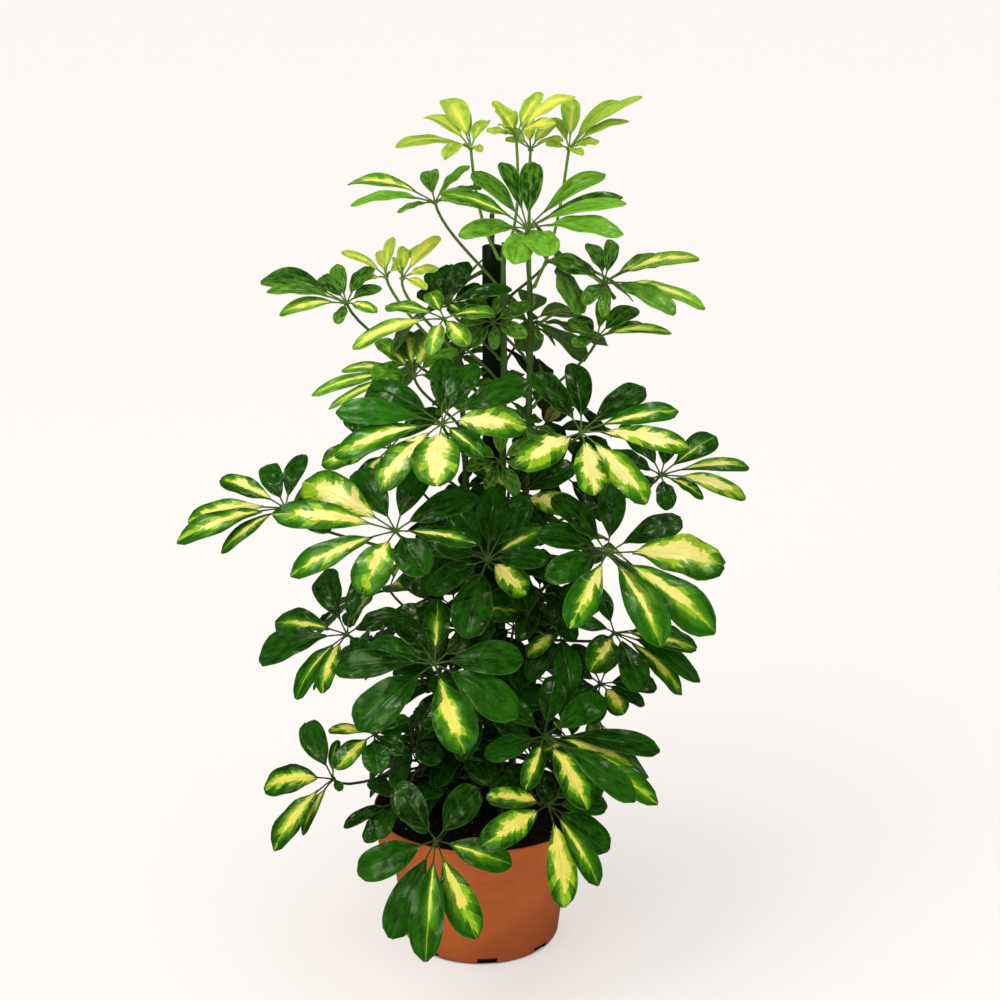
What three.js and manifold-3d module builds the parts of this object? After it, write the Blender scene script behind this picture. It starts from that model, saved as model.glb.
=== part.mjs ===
// Potted umbrella plant: leafy stems round a dark pole in a terracotta brown nursery pot.
// Millimetres, +Z up. The origin is the middle of the pot's flat base, and the front faces -Y.
import * as THREE from "three";
import { mergeVertices } from "three/addons/utils/BufferGeometryUtils.js";
import Module from "manifold-3d";

const wasm = await Module();
wasm.setup();

// Pot
const POT_HEIGHT = 175;
const RIM_RADIUS = 135;
const BASE_RADIUS = 99;
const BASE_CORNER = 9;
const COLLAR_HEIGHT = 42;
const COLLAR_TAPER = 4;
const BODY_TOP_RADIUS = 114;
const WALL = 2.4;
const FLOOR = 3.2;
const LIP = 2.6;
const POT_SIDES = 32;
const NOTCH_COUNT = 8;
const NOTCH_WIDTH = 25;
const NOTCH_HEIGHT = 10.5;
const NOTCH_DEPTH = 13;
const NOTCH_TURN = 5;

// Soil
const SOIL_LEVEL = 161;
const SOIL_EDGE_DROP = 2;
// Crown of the soil: distance from the middle, height over the level
const SOIL_CROWN = [[95, 0], [50, 1], [0, 2]];
const SOIL_SWELL = 3;
const SOIL_SWELL_ACROSS = 17;
const SOIL_SWELL_DEEP = 13;
const GAP = 0.3;

// Support
const POLE_AT = [15, 0];
const POLE_RADIUS = 11.5;
const POLE_FOOT = 20;
const POLE_TOP = 892;
const POLE_SIDES = 16;
const CANE_RADIUS = 3;
const CANE_SOCKET = 40;
const CANE_TOP = 930;
const CANE_SIDES = 8;

// Stems, each a list of points on its centre line with the radius there
const STEM_SIDES = 8;
const STEMS = {
  stem_right: [[34, -12, 60, 5.2], [40, -16, 250, 5], [48, -15, 425, 4.6], [56, -15, 610, 4.2],
    [60, -15, 775, 3.8], [59, -15, 858, 2.8]],
  stem_front: [[24, -24, 60, 5], [26, -22, 300, 4.6], [28, -20, 640, 4.2], [29, -20, 774, 4],
    [28, -20, 900, 2.8]],
  stem_left: [[-4, -8, 60, 5.2], [-8, -8, 250, 4.8], [-12, -6, 450, 4.4], [-17, -4, 620, 4],
    [-24, -2, 770, 2.8]],
  stem_back: [[18, 24, 60, 5.2], [20, 26, 300, 4.8], [22, 28, 600, 4.2], [20, 32, 840, 2.8]],
};

// Leaves
const STALK_SIDES = 4;
const STALK_STEPS = 3;
const STALK_RADIUS = 1.7;
const STALK_FOOT_RADIUS = 2.5;
const STALK_STANDOFF = 0.4;
const STALK_FOOT_RUN = 2.5;
const STALK_FOOT_RISE = 1.2;
// How a stalk bends: its start leans out and up, its end comes from behind the hub
const STALK_LEAN = [0.6, 0.8];
const STALK_START_REACH = 0.3;
const STALK_END_REACH = 0.28;
const HUB_RADIUS = 4.2;
const HUB_HEIGHT = 3.2;
// Between two leaflets that stand wider apart than this, the hub has a side of its own
const HUB_OPEN_TURN = 80;
const HUB_CORNER_TURN = 30;
const NECK_SHARE = 0.2;
const NECK_HALF_WIDTH = 1.1;
const NECK_HALF_THICKNESS = 0.8;
const BLADE_HALF_THICKNESS = 0.4;
const USUAL_WIDTH_SHARE = 0.38;
const BOW = 0.09;
const DROOP = 0.1;
// Rows across a blade: share of the blade's length, share of its half width
const LONG_BLADE = 122;
const LONG_BLADE_ROWS = [[0.3, 0.66], [0.64, 1], [0.91, 0.62]];
const SHORT_BLADE_ROWS = [[0.4, 0.84], [0.8, 0.88]];
const SMALL_BLADE = 50;
const SMALL_BLADE_ROWS = [[0.6, 1]];
// What a leaflet tries, in this order, until it lies clear: more lift, another turn, a shorter length
const TRIES = [[0, 0, 1], [7, 0, 1], [-7, 0, 1], [14, 0, 1], [-14, 0, 1], [7, 6, 1], [7, -6, 1], [-7, 6, 1],
  [-7, -6, 1], [21, 0, 0.95], [-21, 0, 0.95], [14, 8, 0.9], [14, -8, 0.9], [-14, 8, 0.9], [-14, -8, 0.9],
  [28, 0, 0.85], [-28, 0, 0.85], [0, 0, 0.75], [14, 0, 0.7], [-14, 0, 0.7], [35, 0, 0.7], [-35, 0, 0.7],
  [0, 0, 0.6]];

// name, stem, height where the stalk leaves it, hub, facing (turn from the front, tilt up), lift,
// leaflets as (turn from the top of the star, length, width where it isn't the usual share of the length)
const LEAVES = [
  ["star_left", "stem_left", 640, [-40, -190, 730], [-10, 45], 0, [[-145, 105, 36], [-112, 125, 35],
    [-90, 120, 34], [-64, 100, 35], [-6, 85, 28], [22, 80, 30], [56, 110, 34], [88, 95, 37], [127, 65, 26],
    [176, 84, 53]]],
  ["star_right", "stem_right", 640, [115, -190, 720], [15, 45], 0, [[-115, 90, 37], [-28, 90, 30],
    [6, 90, 30], [58, 100, 30], [82, 120, 26], [104, 125, 30], [151, 110, 36], [180, 75, 38]]],
  ["front_left", "stem_left", 520, [-93, -200, 607], [-15, 45], 0, [[-67, 133, 49], [-90, 143, 36],
    [-122, 129, 35], [-166, 84, 45], [140, 68, 41], [95, 96, 22], [-38, 95], [10, 90, 36], [58, 100, 34]]],
  ["front_right", "stem_right", 500, [145, -200, 580], [15, 50], 0, [[103, 136, 55], [140, 152, 54],
    [168, 136, 44], [-145, 110, 36], [-109, 81, 35], [-64, 82, 35], [-32, 90, 33], [18, 95, 32],
    [70, 105, 32]]],
  ["front_middle", "stem_front", 480, [10, -150, 555], [0, 45], 0, [[-164, 101, 46], [134, 62, 35],
    [-118, 80], [-75, 75], [-30, 85], [4, 95, 34], [32, 90], [60, 80], [95, 70]]],
  ["front_low", "stem_left", 330, [-50, -210, 450], [-5, 45], 0, [[-137, 117, 48], [160, 115, 47],
    [121, 116, 45], [88, 103, 42], [-96, 116, 35], [-74, 85], [-40, 75], [0, 80], [50, 85]]],
  ["low_right", "stem_right", 270, [75, -210, 360], [15, 45], 0, [[104, 138, 31], [112, 112, 21],
    [130, 152, 32], [138, 130, 35], [162, 99, 36], [-152, 70, 25], [-102, 75, 28], [-40, 75], [20, 80],
    [66, 90]]],
  ["low_right_rim", "stem_right", 230, [80, -235, 285], [20, 40], 0, [[-73, 74, 26], [-111, 98, 36],
    [-176, 120, 35], [163, 110, 30], [139, 87, 37], [62, 66], [100, 72]]],
  ["low_front_rim", "stem_front", 215, [-50, -235, 240], [-5, 35], 0, [[-39, 81, 38], [38, 78, 39],
    [-114, 98, 39], [-158, 123, 43], [-180, 142, 38], [155, 122, 40], [105, 93, 36]]],
  ["top_bright", "stem_right", 830, [55, -110, 934], [5, 55], 0, [[-97, 78, 27], [-59, 110, 25],
    [-33, 106, 24], [-12, 108, 20], [8, 95, 26], [49, 128, 23], [67, 122, 20], [78, 116, 18], [95, 108, 28],
    [-160, 56, 34], [160, 60, 38]]],
  ["crown_far_left", "stem_front", 880, [-9, -20, 1009], [-20, 78], 13, [[-131, 92, 34], [-59, 84, 22],
    [-38, 93, 30], [178, 88, 20], [1, 57, 18], [142, 37, 13], [-24, 77, 12]], true],
  ["crown_left", "stem_front", 890, [43, -10, 1021], [-10, 72], 22, [[20, 70, 20], [54, 83, 23],
    [94, 51, 26], [-120, 38, 19], [-36, 59, 14], [-57, 43, 22], [-15, 52, 12], [-150, 40, 16]], true],
  ["crown_right", "stem_right", 845, [104, 0, 1005], [20, 70], 18, [[56, 98, 20], [73, 111, 14],
    [80, 81, 15], [101, 36, 18], [20, 84, 22], [-104, 34, 17], [0, 57, 13], [180, 35, 16]], true],
  ["crown_middle", "stem_right", 850, [60, 25, 1000], [10, 70], 30, [[-110, 40, 16], [-50, 45, 16],
    [0, 50, 18], [55, 50, 18], [120, 45, 16]], true],
  ["left_high", "stem_front", 845, [-50, -40, 950], [-35, 70], 4, [[-89, 126, 26], [-114, 100, 22],
    [-40, 74, 22], [24, 62, 18], [48, 56, 16], [-140, 45, 14], [90, 60, 18]]],
  ["right_high", "stem_right", 795, [145, -30, 854], [30, 58], 4, [[85, 137, 22], [125, 122, 24],
    [149, 95, 34], [74, 108, 25], [35, 76, 18], [15, 72, 22], [-45, 66, 33], [-125, 56, 18],
    [-151, 55, 16]]],
  ["right_upper", "stem_right", 700, [137, -60, 796], [20, 65], 6, [[-25, 40, 22], [-62, 40, 20],
    [26, 66, 18], [59, 74, 26], [100, 88, 18], [82, 69, 18], [-110, 40, 18]]],
  ["left_upper", "stem_left", 705, [-155, -20, 827], [-30, 60], 2, [[-83, 130, 36], [-98, 102, 18],
    [-116, 82, 26], [-56, 66, 24], [-36, 60, 20], [4, 63, 24], [36, 46, 22], [100, 48, 16], [165, 36, 16]]],
  ["young_left", "stem_left", 742, [-110, 10, 852], [-30, 68], 12, [[-89, 62, 14], [-35, 48, 14],
    [-14, 55, 14], [27, 50, 16], [44, 72, 16], [100, 36, 14], [-140, 36, 14]], true],
  ["young_right", "stem_left", 762, [-90, -15, 856], [20, 60], 16, [[-40, 40, 14], [15, 45, 14],
    [55, 70, 16], [90, 45, 14], [150, 40, 14]], true],
  ["dark_upper_left", "stem_front", 760, [-36, -30, 828], [-10, 55], 12, [[-75, 40, 22], [-40, 46, 22],
    [-6, 54, 30], [22, 56, 26], [62, 46, 22], [87, 82, 20], [112, 44, 16], [150, 50, 24]]],
  ["inner_left", "stem_front", 730, [-40, -75, 822], [-25, 60], 0, [[-125, 110, 28], [-85, 80, 20],
    [-40, 55], [75, 60], [130, 60], [172, 60]]],
  ["left_middle", "stem_left", 670, [-75, -80, 755], [-15, 60], 4, [[-92, 86, 18], [-114, 120, 22],
    [-130, 108, 14], [-48, 75, 22], [-20, 75, 20], [10, 70, 24], [45, 60], [95, 60], [-150, 60, 24],
    [-122, 56, 36]]],
  ["far_right", "stem_right", 530, [214, -60, 629], [25, 50], 0, [[93, 118, 21], [116, 106, 26],
    [129, 58, 18], [66, 103, 32], [-167, 49, 26], [-110, 60], [-60, 70], [-15, 80], [30, 70]]],
  ["far_left", "stem_left", 470, [-230, -60, 588], [-20, 50], 0, [[-73, 100, 26], [-106, 121, 32],
    [-124, 134, 31], [-139, 92, 21], [-38, 72, 29], [0, 77, 25], [50, 70], [110, 70]]],
  ["left_low", "stem_left", 380, [-156, -120, 451], [-40, 45], 0, [[-49, 107, 39], [-96, 111, 36],
    [-126, 114, 43], [-166, 96, 32], [167, 82, 28], [-10, 85, 30], [55, 75], [110, 70]]],
  ["right_low_inner", "stem_right", 370, [95, -80, 440], [0, 50], 0, [[-150, 75], [-139, 59, 21], [-60, 70],
    [-5, 65], [50, 70], [170, 80]]],
  ["right_low_outer", "stem_right", 390, [159, -120, 453], [35, 50], 0, [[-125, 70, 33], [-171, 81, 40],
    [139, 117, 30], [150, 108, 27], [128, 99, 31], [107, 96, 21], [-60, 60], [0, 70], [-110, 50, 22]]],
  ["right_low", "stem_right", 310, [144, -110, 384], [30, 50], 0, [[132, 59, 19], [114, 68, 29],
    [-112, 67, 31], [161, 45, 35], [-141, 57, 31], [-100, 70], [-50, 60], [-10, 60], [40, 65]]],
  ["low_left", "stem_left", 225, [-177, -110, 260], [-30, 50], 0, [[-107, 91, 40], [-162, 111, 33],
    [-172, 76, 15], [-47, 95, 34], [-21, 54, 15], [121, 21, 11]]],
  ["low_left_inner", "stem_left", 290, [-124, -140, 332], [-20, 60], 0, [[-95, 59, 16], [-155, 64, 29],
    [158, 58, 33], [72, 34, 21], [-50, 45, 18], [0, 50], [60, 45], [120, 55]]],
  ["low_left_rim", "stem_left", 215, [-100, -95, 221], [-25, 55], 0, [[-130, 72, 19], [-163, 63, 27],
    [-60, 60], [60, 60], [120, 60], [176, 60]]],
  ["inner_middle", "stem_right", 540, [42, -50, 598], [0, 45], 0, [[-150, 75], [-100, 80], [-45, 75],
    [10, 75], [60, 85], [105, 80], [155, 70]]],
  ["inner_right", "stem_back", 520, [100, 35, 600], [20, 45], 0, [[-140, 75], [-90, 80], [-40, 75], [5, 75],
    [55, 80], [100, 85], [150, 80]]],
  ["inner_upper_left", "stem_left", 590, [-105, -50, 660], [-20, 45], 0, [[-160, 75], [-110, 85], [-60, 80],
    [-10, 75], [40, 75], [90, 80], [140, 75]]],
  ["inner_low_left", "stem_front", 395, [-30, -70, 465], [-10, 45], 0, [[-160, 80], [-110, 85], [-60, 80],
    [-10, 75], [40, 75], [90, 80], [140, 80]]],
  ["inner_low_right", "stem_right", 420, [72, -60, 480], [10, 50], 0, [[-150, 70], [-100, 70], [-50, 75],
    [0, 70], [50, 70], [100, 75], [155, 75]]],
  ["inner_foot", "stem_front", 290, [5, -85, 350], [0, 45], 0, [[-160, 80], [-110, 80], [-60, 75],
    [-10, 75], [40, 75], [90, 80], [140, 80]]],
];

// The leaves that the front ones hide, placed by a rule round the back and the sides. Turns are in
// degrees from the front, and a hub's reach is its distance from the stems.
const REAR_COUNT = 14;
const REAR_SEED = 4127;
const REAR_TRIES = 60;
const REAR_LOWEST = 250;
const REAR_HIGHEST = 860;
const REAR_HEIGHT_DRAW = 30;
const REAR_FIRST_TURN = 75;
const REAR_SWEEP = 210;
const REAR_LOW_REACH = 215;
const REAR_HIGH_REACH = 110;
const REAR_LEAST_REACH = 0.75;
const REAR_INNER_EACH = 3;
const REAR_INNER_REACH = 0.6;
const REAR_SQUEEZE = 0.8;
const REAR_MIDDLE = 15;
const REAR_BACK_HALF_WIDTH = 90;
const REAR_TOP_ROOM = 12;
const REAR_TOP_DRAW = 20;
const REAR_ROOT_DROP = 0.45;
const REAR_LOWEST_ROOT = 190;
const REAR_TILT = 50;
const REAR_TILT_DRAW = 15;
const REAR_LEAFLETS = 8;
const REAR_STAR_DRAW = 40;
const REAR_LENGTH = 90;
const REAR_LENGTH_DRAW = 18;
// A leaflet that points down past this turn is longer, any other shorter
const REAR_LONG_PAST = 80;
const REAR_LONGER = 12;
const REAR_SHORTER = -8;

// Room left free round each piece while the leaves are placed
const SPARE = 0.6;
const HUB_ROOM = 12;
const SUPPORT_ROOM = 2;
const STEM_ROOM = 1.5;
const STALK_ROOM = 1;
const REAR_STALK_ROOM = 1.5;
const NECK_ROOM_SHARE = 0.3;
const LEAST_OVERLAP = 1e-6;

// Colours
const LEAF_GREEN = 0x2f7a22;
const YOUNG_GREEN = 0xa9c83a;
const STEM_GREEN = 0x4c7a26;
const TERRACOTTA = 0x9e5230;
const SOIL_BROWN = 0x2a1d15;
const POLE_DARK = 0x14261a;
const CANE_DARK = 0x241d17;

// Roughness of each surface
const LEAF_ROUGHNESS = 0.35;
const STEM_ROUGHNESS = 0.5;
const POT_ROUGHNESS = 0.5;
const SOIL_ROUGHNESS = 1;
const POLE_ROUGHNESS = 0.3;
const CANE_ROUGHNESS = 0.7;

const radians = THREE.MathUtils.degToRad;

// Numbers from 0 to 1 that come out the same on every run
function draws(seed) {
  let state = seed;
  return () => {
    state = (state * 16807) % 2147483647;
    return state / 2147483647;
  };
}

// Closed solid from a three.js geometry
function solidFrom(geometry) {
  const bare = geometry.clone();
  bare.deleteAttribute("normal");
  bare.deleteAttribute("uv");
  const merged = mergeVertices(bare, 1e-4);
  const corners = merged.index.array;
  const kept = [];
  for (let i = 0; i < corners.length; i += 3) {
    const [a, b, c] = [corners[i], corners[i + 1], corners[i + 2]];
    if (a !== b && b !== c && c !== a) {
      kept.push(a, b, c);
    }
  }
  return solidOf(Float32Array.from(merged.attributes.position.array), Uint32Array.from(kept));
}

function solidOf(points, triangles) {
  const mesh = new wasm.Mesh({ numProp: 3, vertProperties: points, triVerts: triangles });
  return new wasm.Manifold(mesh);
}

// Named mesh from a closed solid
function node(name, solid, colour, roughness, metalness = 0) {
  const mesh = solid.getMesh();
  const geometry = new THREE.BufferGeometry();
  geometry.setAttribute("position", new THREE.BufferAttribute(Float32Array.from(mesh.vertProperties), 3));
  geometry.setIndex(new THREE.BufferAttribute(Uint32Array.from(mesh.triVerts), 1));
  geometry.computeVertexNormals();
  const material = new THREE.MeshStandardMaterial({ color: colour, roughness, metalness });
  material.name = name;
  const made = new THREE.Mesh(geometry, material);
  made.name = name;
  return made;
}

// Points on an arc in a profile, from one angle to the other
function arc(centreRadius, centreHeight, radius, from, to, steps) {
  return Array.from({ length: steps + 1 }, (_, i) => {
    const angle = radians(from + ((to - from) * i) / steps);
    const [run, rise] = [radius * Math.cos(angle), radius * Math.sin(angle)];
    return new THREE.Vector2(centreRadius + run, centreHeight + rise);
  });
}

// Solid turned about the upright axis from a profile that starts and ends on it
function turned(profile, sides) {
  const lathe = new THREE.LatheGeometry(profile, sides);
  lathe.rotateX(Math.PI / 2);
  return solidFrom(lathe);
}

// Outer radius of the pot's body at a height
function bodyRadius(height) {
  return THREE.MathUtils.mapLinear(height, 0, POT_HEIGHT - COLLAR_HEIGHT, BASE_RADIUS, BODY_TOP_RADIUS);
}

function potSolid() {
  const shoulder = POT_HEIGHT - COLLAR_HEIGHT;
  const collarFoot = RIM_RADIUS - COLLAR_TAPER;
  const profile = [
    new THREE.Vector2(0, 0),
    ...arc(BASE_RADIUS - BASE_CORNER, BASE_CORNER, BASE_CORNER, -90, 0, 2),
    new THREE.Vector2(BODY_TOP_RADIUS, shoulder),
    new THREE.Vector2(collarFoot, shoulder),
    new THREE.Vector2(RIM_RADIUS, POT_HEIGHT - LIP / 2),
    new THREE.Vector2(RIM_RADIUS - 1, POT_HEIGHT),
    new THREE.Vector2(RIM_RADIUS - LIP, POT_HEIGHT),
    new THREE.Vector2(collarFoot - WALL, shoulder + WALL),
    new THREE.Vector2(BODY_TOP_RADIUS - WALL, shoulder + WALL),
    new THREE.Vector2(bodyRadius(BASE_CORNER) - WALL, BASE_CORNER),
    new THREE.Vector2(BASE_RADIUS - BASE_CORNER, FLOOR),
    new THREE.Vector2(0, FLOOR),
  ];
  let pot = turned(profile, POT_SIDES);
  for (let i = 0; i < NOTCH_COUNT; i += 1) {
    const box = new THREE.BoxGeometry(NOTCH_WIDTH, 2 * NOTCH_DEPTH, 2 * NOTCH_HEIGHT);
    box.translate(0, -BASE_RADIUS, 0);
    box.rotateZ(radians(NOTCH_TURN + (i * 360) / NOTCH_COUNT));
    pot = pot.subtract(solidFrom(box));
  }
  return pot;
}

// Soil that fills the pot, with plain holes for the pole and the stems
function soilSolid() {
  const shoulder = POT_HEIGHT - COLLAR_HEIGHT + WALL;
  const collar = RIM_RADIUS - COLLAR_TAPER - WALL - GAP;
  const edge = SOIL_LEVEL - SOIL_EDGE_DROP;
  const wider = THREE.MathUtils.mapLinear(edge, shoulder, POT_HEIGHT, 0, COLLAR_TAPER);
  const profile = [
    new THREE.Vector2(0, FLOOR + GAP),
    new THREE.Vector2(BASE_RADIUS - BASE_CORNER - GAP, FLOOR + GAP),
    new THREE.Vector2(bodyRadius(BASE_CORNER) - WALL - GAP, BASE_CORNER + GAP),
    new THREE.Vector2(BODY_TOP_RADIUS - WALL - GAP, shoulder + GAP),
    new THREE.Vector2(collar, shoulder + GAP),
    new THREE.Vector2(collar + wider, edge),
    ...SOIL_CROWN.map(([radius, rise]) => new THREE.Vector2(radius, SOIL_LEVEL + rise)),
  ];
  const lathe = new THREE.LatheGeometry(profile, POT_SIDES);
  lathe.rotateX(Math.PI / 2);
  const place = lathe.attributes.position;
  for (let i = 0; i < place.count; i += 1) {
    const [x, y, z] = [place.getX(i), place.getY(i), place.getZ(i)];
    if (z >= SOIL_LEVEL) {
      const swell = Math.sin(x / SOIL_SWELL_ACROSS + 1) * Math.cos(y / SOIL_SWELL_DEEP);
      place.setZ(i, z + SOIL_SWELL * swell);
    }
  }
  let soil = solidFrom(lathe);
  const holes = [poleSolid(GAP)];
  for (const points of Object.values(STEMS)) {
    holes.push(stemSolid(points, GAP));
  }
  for (const hole of holes) {
    soil = soil.subtract(hole);
  }
  return soil;
}

function poleSolid(spare = 0) {
  const radius = POLE_RADIUS + spare;
  const pole = new THREE.CylinderGeometry(radius, radius, POLE_TOP - POLE_FOOT + 2 * spare, POLE_SIDES);
  pole.rotateX(Math.PI / 2);
  pole.translate(POLE_AT[0], POLE_AT[1], (POLE_TOP + POLE_FOOT) / 2);
  return solidFrom(pole);
}

function caneSolid(spare = 0) {
  const foot = POLE_TOP - CANE_SOCKET;
  const radius = CANE_RADIUS + spare;
  const cane = new THREE.CylinderGeometry(radius, radius, CANE_TOP - foot + 2 * spare, CANE_SIDES);
  cane.rotateX(Math.PI / 2);
  cane.translate(POLE_AT[0], POLE_AT[1], (CANE_TOP + foot) / 2);
  return solidFrom(cane);
}

// Closed round tube along a path, with a radius at each point
function tube(path, radii, sides, firstDirection = null) {
  const points = [];
  const triangles = [];
  let side = null;
  path.forEach((point, i) => {
    const before = path[Math.max(i - 1, 0)];
    const after = path[Math.min(i + 1, path.length - 1)];
    const along = i === 0 && firstDirection ? firstDirection.clone() : after.clone().sub(before).normalize();
    if (side === null) {
      side = Math.abs(along.z) > 0.9 ? new THREE.Vector3(1, 0, 0) : new THREE.Vector3(0, 0, 1);
    }
    side = side.clone().addScaledVector(along, -side.dot(along)).normalize();
    const across = along.clone().cross(side);
    for (let k = 0; k < sides; k += 1) {
      const angle = (2 * Math.PI * k) / sides;
      const spot = point.clone().addScaledVector(side, radii[i] * Math.cos(angle));
      spot.addScaledVector(across, radii[i] * Math.sin(angle));
      points.push(spot.x, spot.y, spot.z);
    }
    if (i > 0) {
      for (let k = 0; k < sides; k += 1) {
        const a = (i - 1) * sides + k;
        const b = (i - 1) * sides + ((k + 1) % sides);
        triangles.push(a, b, b + sides, a, b + sides, a + sides);
      }
    }
  });
  const last = (path.length - 1) * sides;
  for (let k = 1; k < sides - 1; k += 1) {
    triangles.push(0, k + 1, k);
    triangles.push(last, last + k, last + k + 1);
  }
  return solidOf(Float32Array.from(points), Uint32Array.from(triangles));
}

function stemSolid(points, spare = 0) {
  const path = points.map(([x, y, z]) => new THREE.Vector3(x, y, z));
  path[0].z -= spare;
  path[path.length - 1].z += spare;
  const radii = points.map((point) => point[3] + spare);
  return tube(path, radii, STEM_SIDES);
}

// Centre and radius of a stem at a height
function stemAt(name, height) {
  const points = STEMS[name];
  const next = Math.max(1, points.findIndex((point) => point[2] >= height));
  const [low, high] = [points[next - 1], points[next]];
  const share = (height - low[2]) / (high[2] - low[2]);
  return low.map((value, i) => value + (high[i] - value) * share);
}

// Directions of a leaf's star: out of its face, up its slope, and to the right across it
function starFrame(turn, tilt) {
  const [a, e] = [radians(turn), radians(tilt)];
  const out = new THREE.Vector3(Math.sin(a) * Math.cos(e), -Math.cos(a) * Math.cos(e), Math.sin(e));
  const up = new THREE.Vector3(0, 0, 1).addScaledVector(out, -out.z).normalize();
  const right = up.clone().cross(out);
  return { out, up, right };
}

// Stalk from its stem to the hub, leaving the stem upwards and meeting the hub from behind
function stalkPath(leaf, spare = 0) {
  const [x, y, z, radius] = stemAt(leaf.stem, leaf.root);
  const outward = new THREE.Vector3(leaf.hub.x - x, leaf.hub.y - y, 0).normalize();
  const start = new THREE.Vector3(x, y, z).addScaledVector(outward, radius + STALK_STANDOFF);
  const far = start.distanceTo(leaf.hub);
  const rise = outward.clone().multiplyScalar(STALK_LEAN[0]).add(new THREE.Vector3(0, 0, STALK_LEAN[1]));
  const second = start.clone().addScaledVector(rise, STALK_START_REACH * far);
  const third = leaf.hub.clone().addScaledVector(leaf.frame.out, -STALK_END_REACH * far);
  const curve = new THREE.CubicBezierCurve3(start, second, third, leaf.hub);
  const foot = start.clone().addScaledVector(outward, STALK_FOOT_RUN);
  foot.z += STALK_FOOT_RISE;
  const path = [start, foot];
  for (let i = 1; i <= STALK_STEPS; i += 1) {
    path.push(curve.getPoint(i / STALK_STEPS));
  }
  const radii = path.map((_, i) => (i < 2 ? STALK_FOOT_RADIUS : STALK_RADIUS) + spare);
  return { path, radii, outward };
}

function stalkSolid(leaf, spare = 0) {
  const { path, radii, outward } = stalkPath(leaf, spare);
  return tube(path, radii, STALK_SIDES, outward);
}

function bladeRows(leaflet) {
  if (leaflet.wish >= LONG_BLADE) {
    return LONG_BLADE_ROWS;
  }
  return leaflet.wish < SMALL_BLADE ? SMALL_BLADE_ROWS : SHORT_BLADE_ROWS;
}

// Rows of corners down a leaflet, from the neck to the tip: left top, right top, right under, left under
function leafletRows(leaf, leaflet, spare = 0) {
  const { out, up, right } = leaf.frame;
  const turn = radians(leaflet.turn);
  const flat = up.clone().multiplyScalar(Math.cos(turn)).addScaledVector(right, Math.sin(turn));
  const across = right.clone().multiplyScalar(Math.cos(turn)).addScaledVector(up, -Math.sin(turn));
  const lift = radians(leaflet.lift);
  const along = flat.clone().multiplyScalar(Math.cos(lift)).addScaledVector(out, Math.sin(lift));
  const above = out.clone().multiplyScalar(Math.cos(lift)).addScaledVector(flat, -Math.sin(lift));
  const shape = bladeRows(leaflet);
  const blade = 1 - NECK_SHARE;
  const halfWidth = leaflet.width / 2;
  const shares = [[NECK_SHARE, 0], ...shape.map(([t, w]) => [NECK_SHARE + t * blade, w]), [1, 0]];
  return shares.map(([t, w], i) => {
    const bow = leaflet.length * (4 * BOW * t * (1 - t) - DROOP * t * t + DROOP * t);
    const slope = 4 * BOW * (1 - 2 * t) - 2 * DROOP * t + DROOP;
    const face = above.clone().addScaledVector(along, -slope).normalize();
    const centre = leaf.hub.clone().addScaledVector(along, leaflet.length * t).addScaledVector(above, bow);
    const neck = i === 0;
    const half = (neck ? NECK_HALF_WIDTH : halfWidth * w) + (w > 0 || neck ? spare : 0);
    const thick = (neck ? NECK_HALF_THICKNESS : BLADE_HALF_THICKNESS) + spare;
    const left = centre.clone().addScaledVector(across, -half);
    const rightSide = centre.clone().addScaledVector(across, half);
    const top = (point) => point.clone().addScaledVector(face, thick);
    const under = (point) => point.clone().addScaledVector(face, -thick);
    if (i === shares.length - 1) {
      return [top(centre), under(centre)];
    }
    return [top(left), top(rightSide), under(rightSide), under(left)];
  });
}

// Skin of a leaflet between its rows, split alike on both faces
function addSkin(rows, put, triangles) {
  for (let i = 0; i + 1 < rows.length; i += 1) {
    const [a, b, bu, au] = rows[i].map(put);
    const next = rows[i + 1].map(put);
    if (next.length === 2) {
      const [t, tu] = next;
      triangles.push(a, b, t, au, tu, bu, b, bu, t, bu, tu, t, a, t, au, au, t, tu);
    } else {
      const [c, d, du, cu] = next;
      triangles.push(a, b, c, b, d, c, au, cu, bu, bu, cu, du, b, bu, d, bu, du, d, a, c, au, au, c, cu);
    }
  }
}

// Keeps one number for each point, so that neighbours share it
function pointStore() {
  const points = [];
  const known = new Map();
  const put = (point) => {
    if (!known.has(point)) {
      known.set(point, points.length / 3);
      points.push(point.x, point.y, point.z);
    }
    return known.get(point);
  };
  return { points, put };
}

// Closed body of one leaflet alone, with spare room all round, for finding where it lies clear
function leafletSolid(leaf, leaflet, spare, withNeck) {
  const rows = leafletRows(leaf, leaflet, spare);
  if (withNeck) {
    const back = leaf.hub.clone().lerp(centreOf(rows[0]), NECK_ROOM_SHARE).sub(centreOf(rows[0]));
    rows.unshift(rows[0].map((point) => point.clone().add(back)));
  }
  const { points, put } = pointStore();
  const triangles = [];
  addSkin(rows, put, triangles);
  const [a, b, bu, au] = rows[0].map(put);
  triangles.push(a, au, b, b, au, bu);
  return solidOf(Float32Array.from(points), Uint32Array.from(triangles));
}

function centreOf(corners) {
  const sum = new THREE.Vector3();
  corners.forEach((point) => sum.add(point));
  return sum.divideScalar(corners.length);
}

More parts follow.
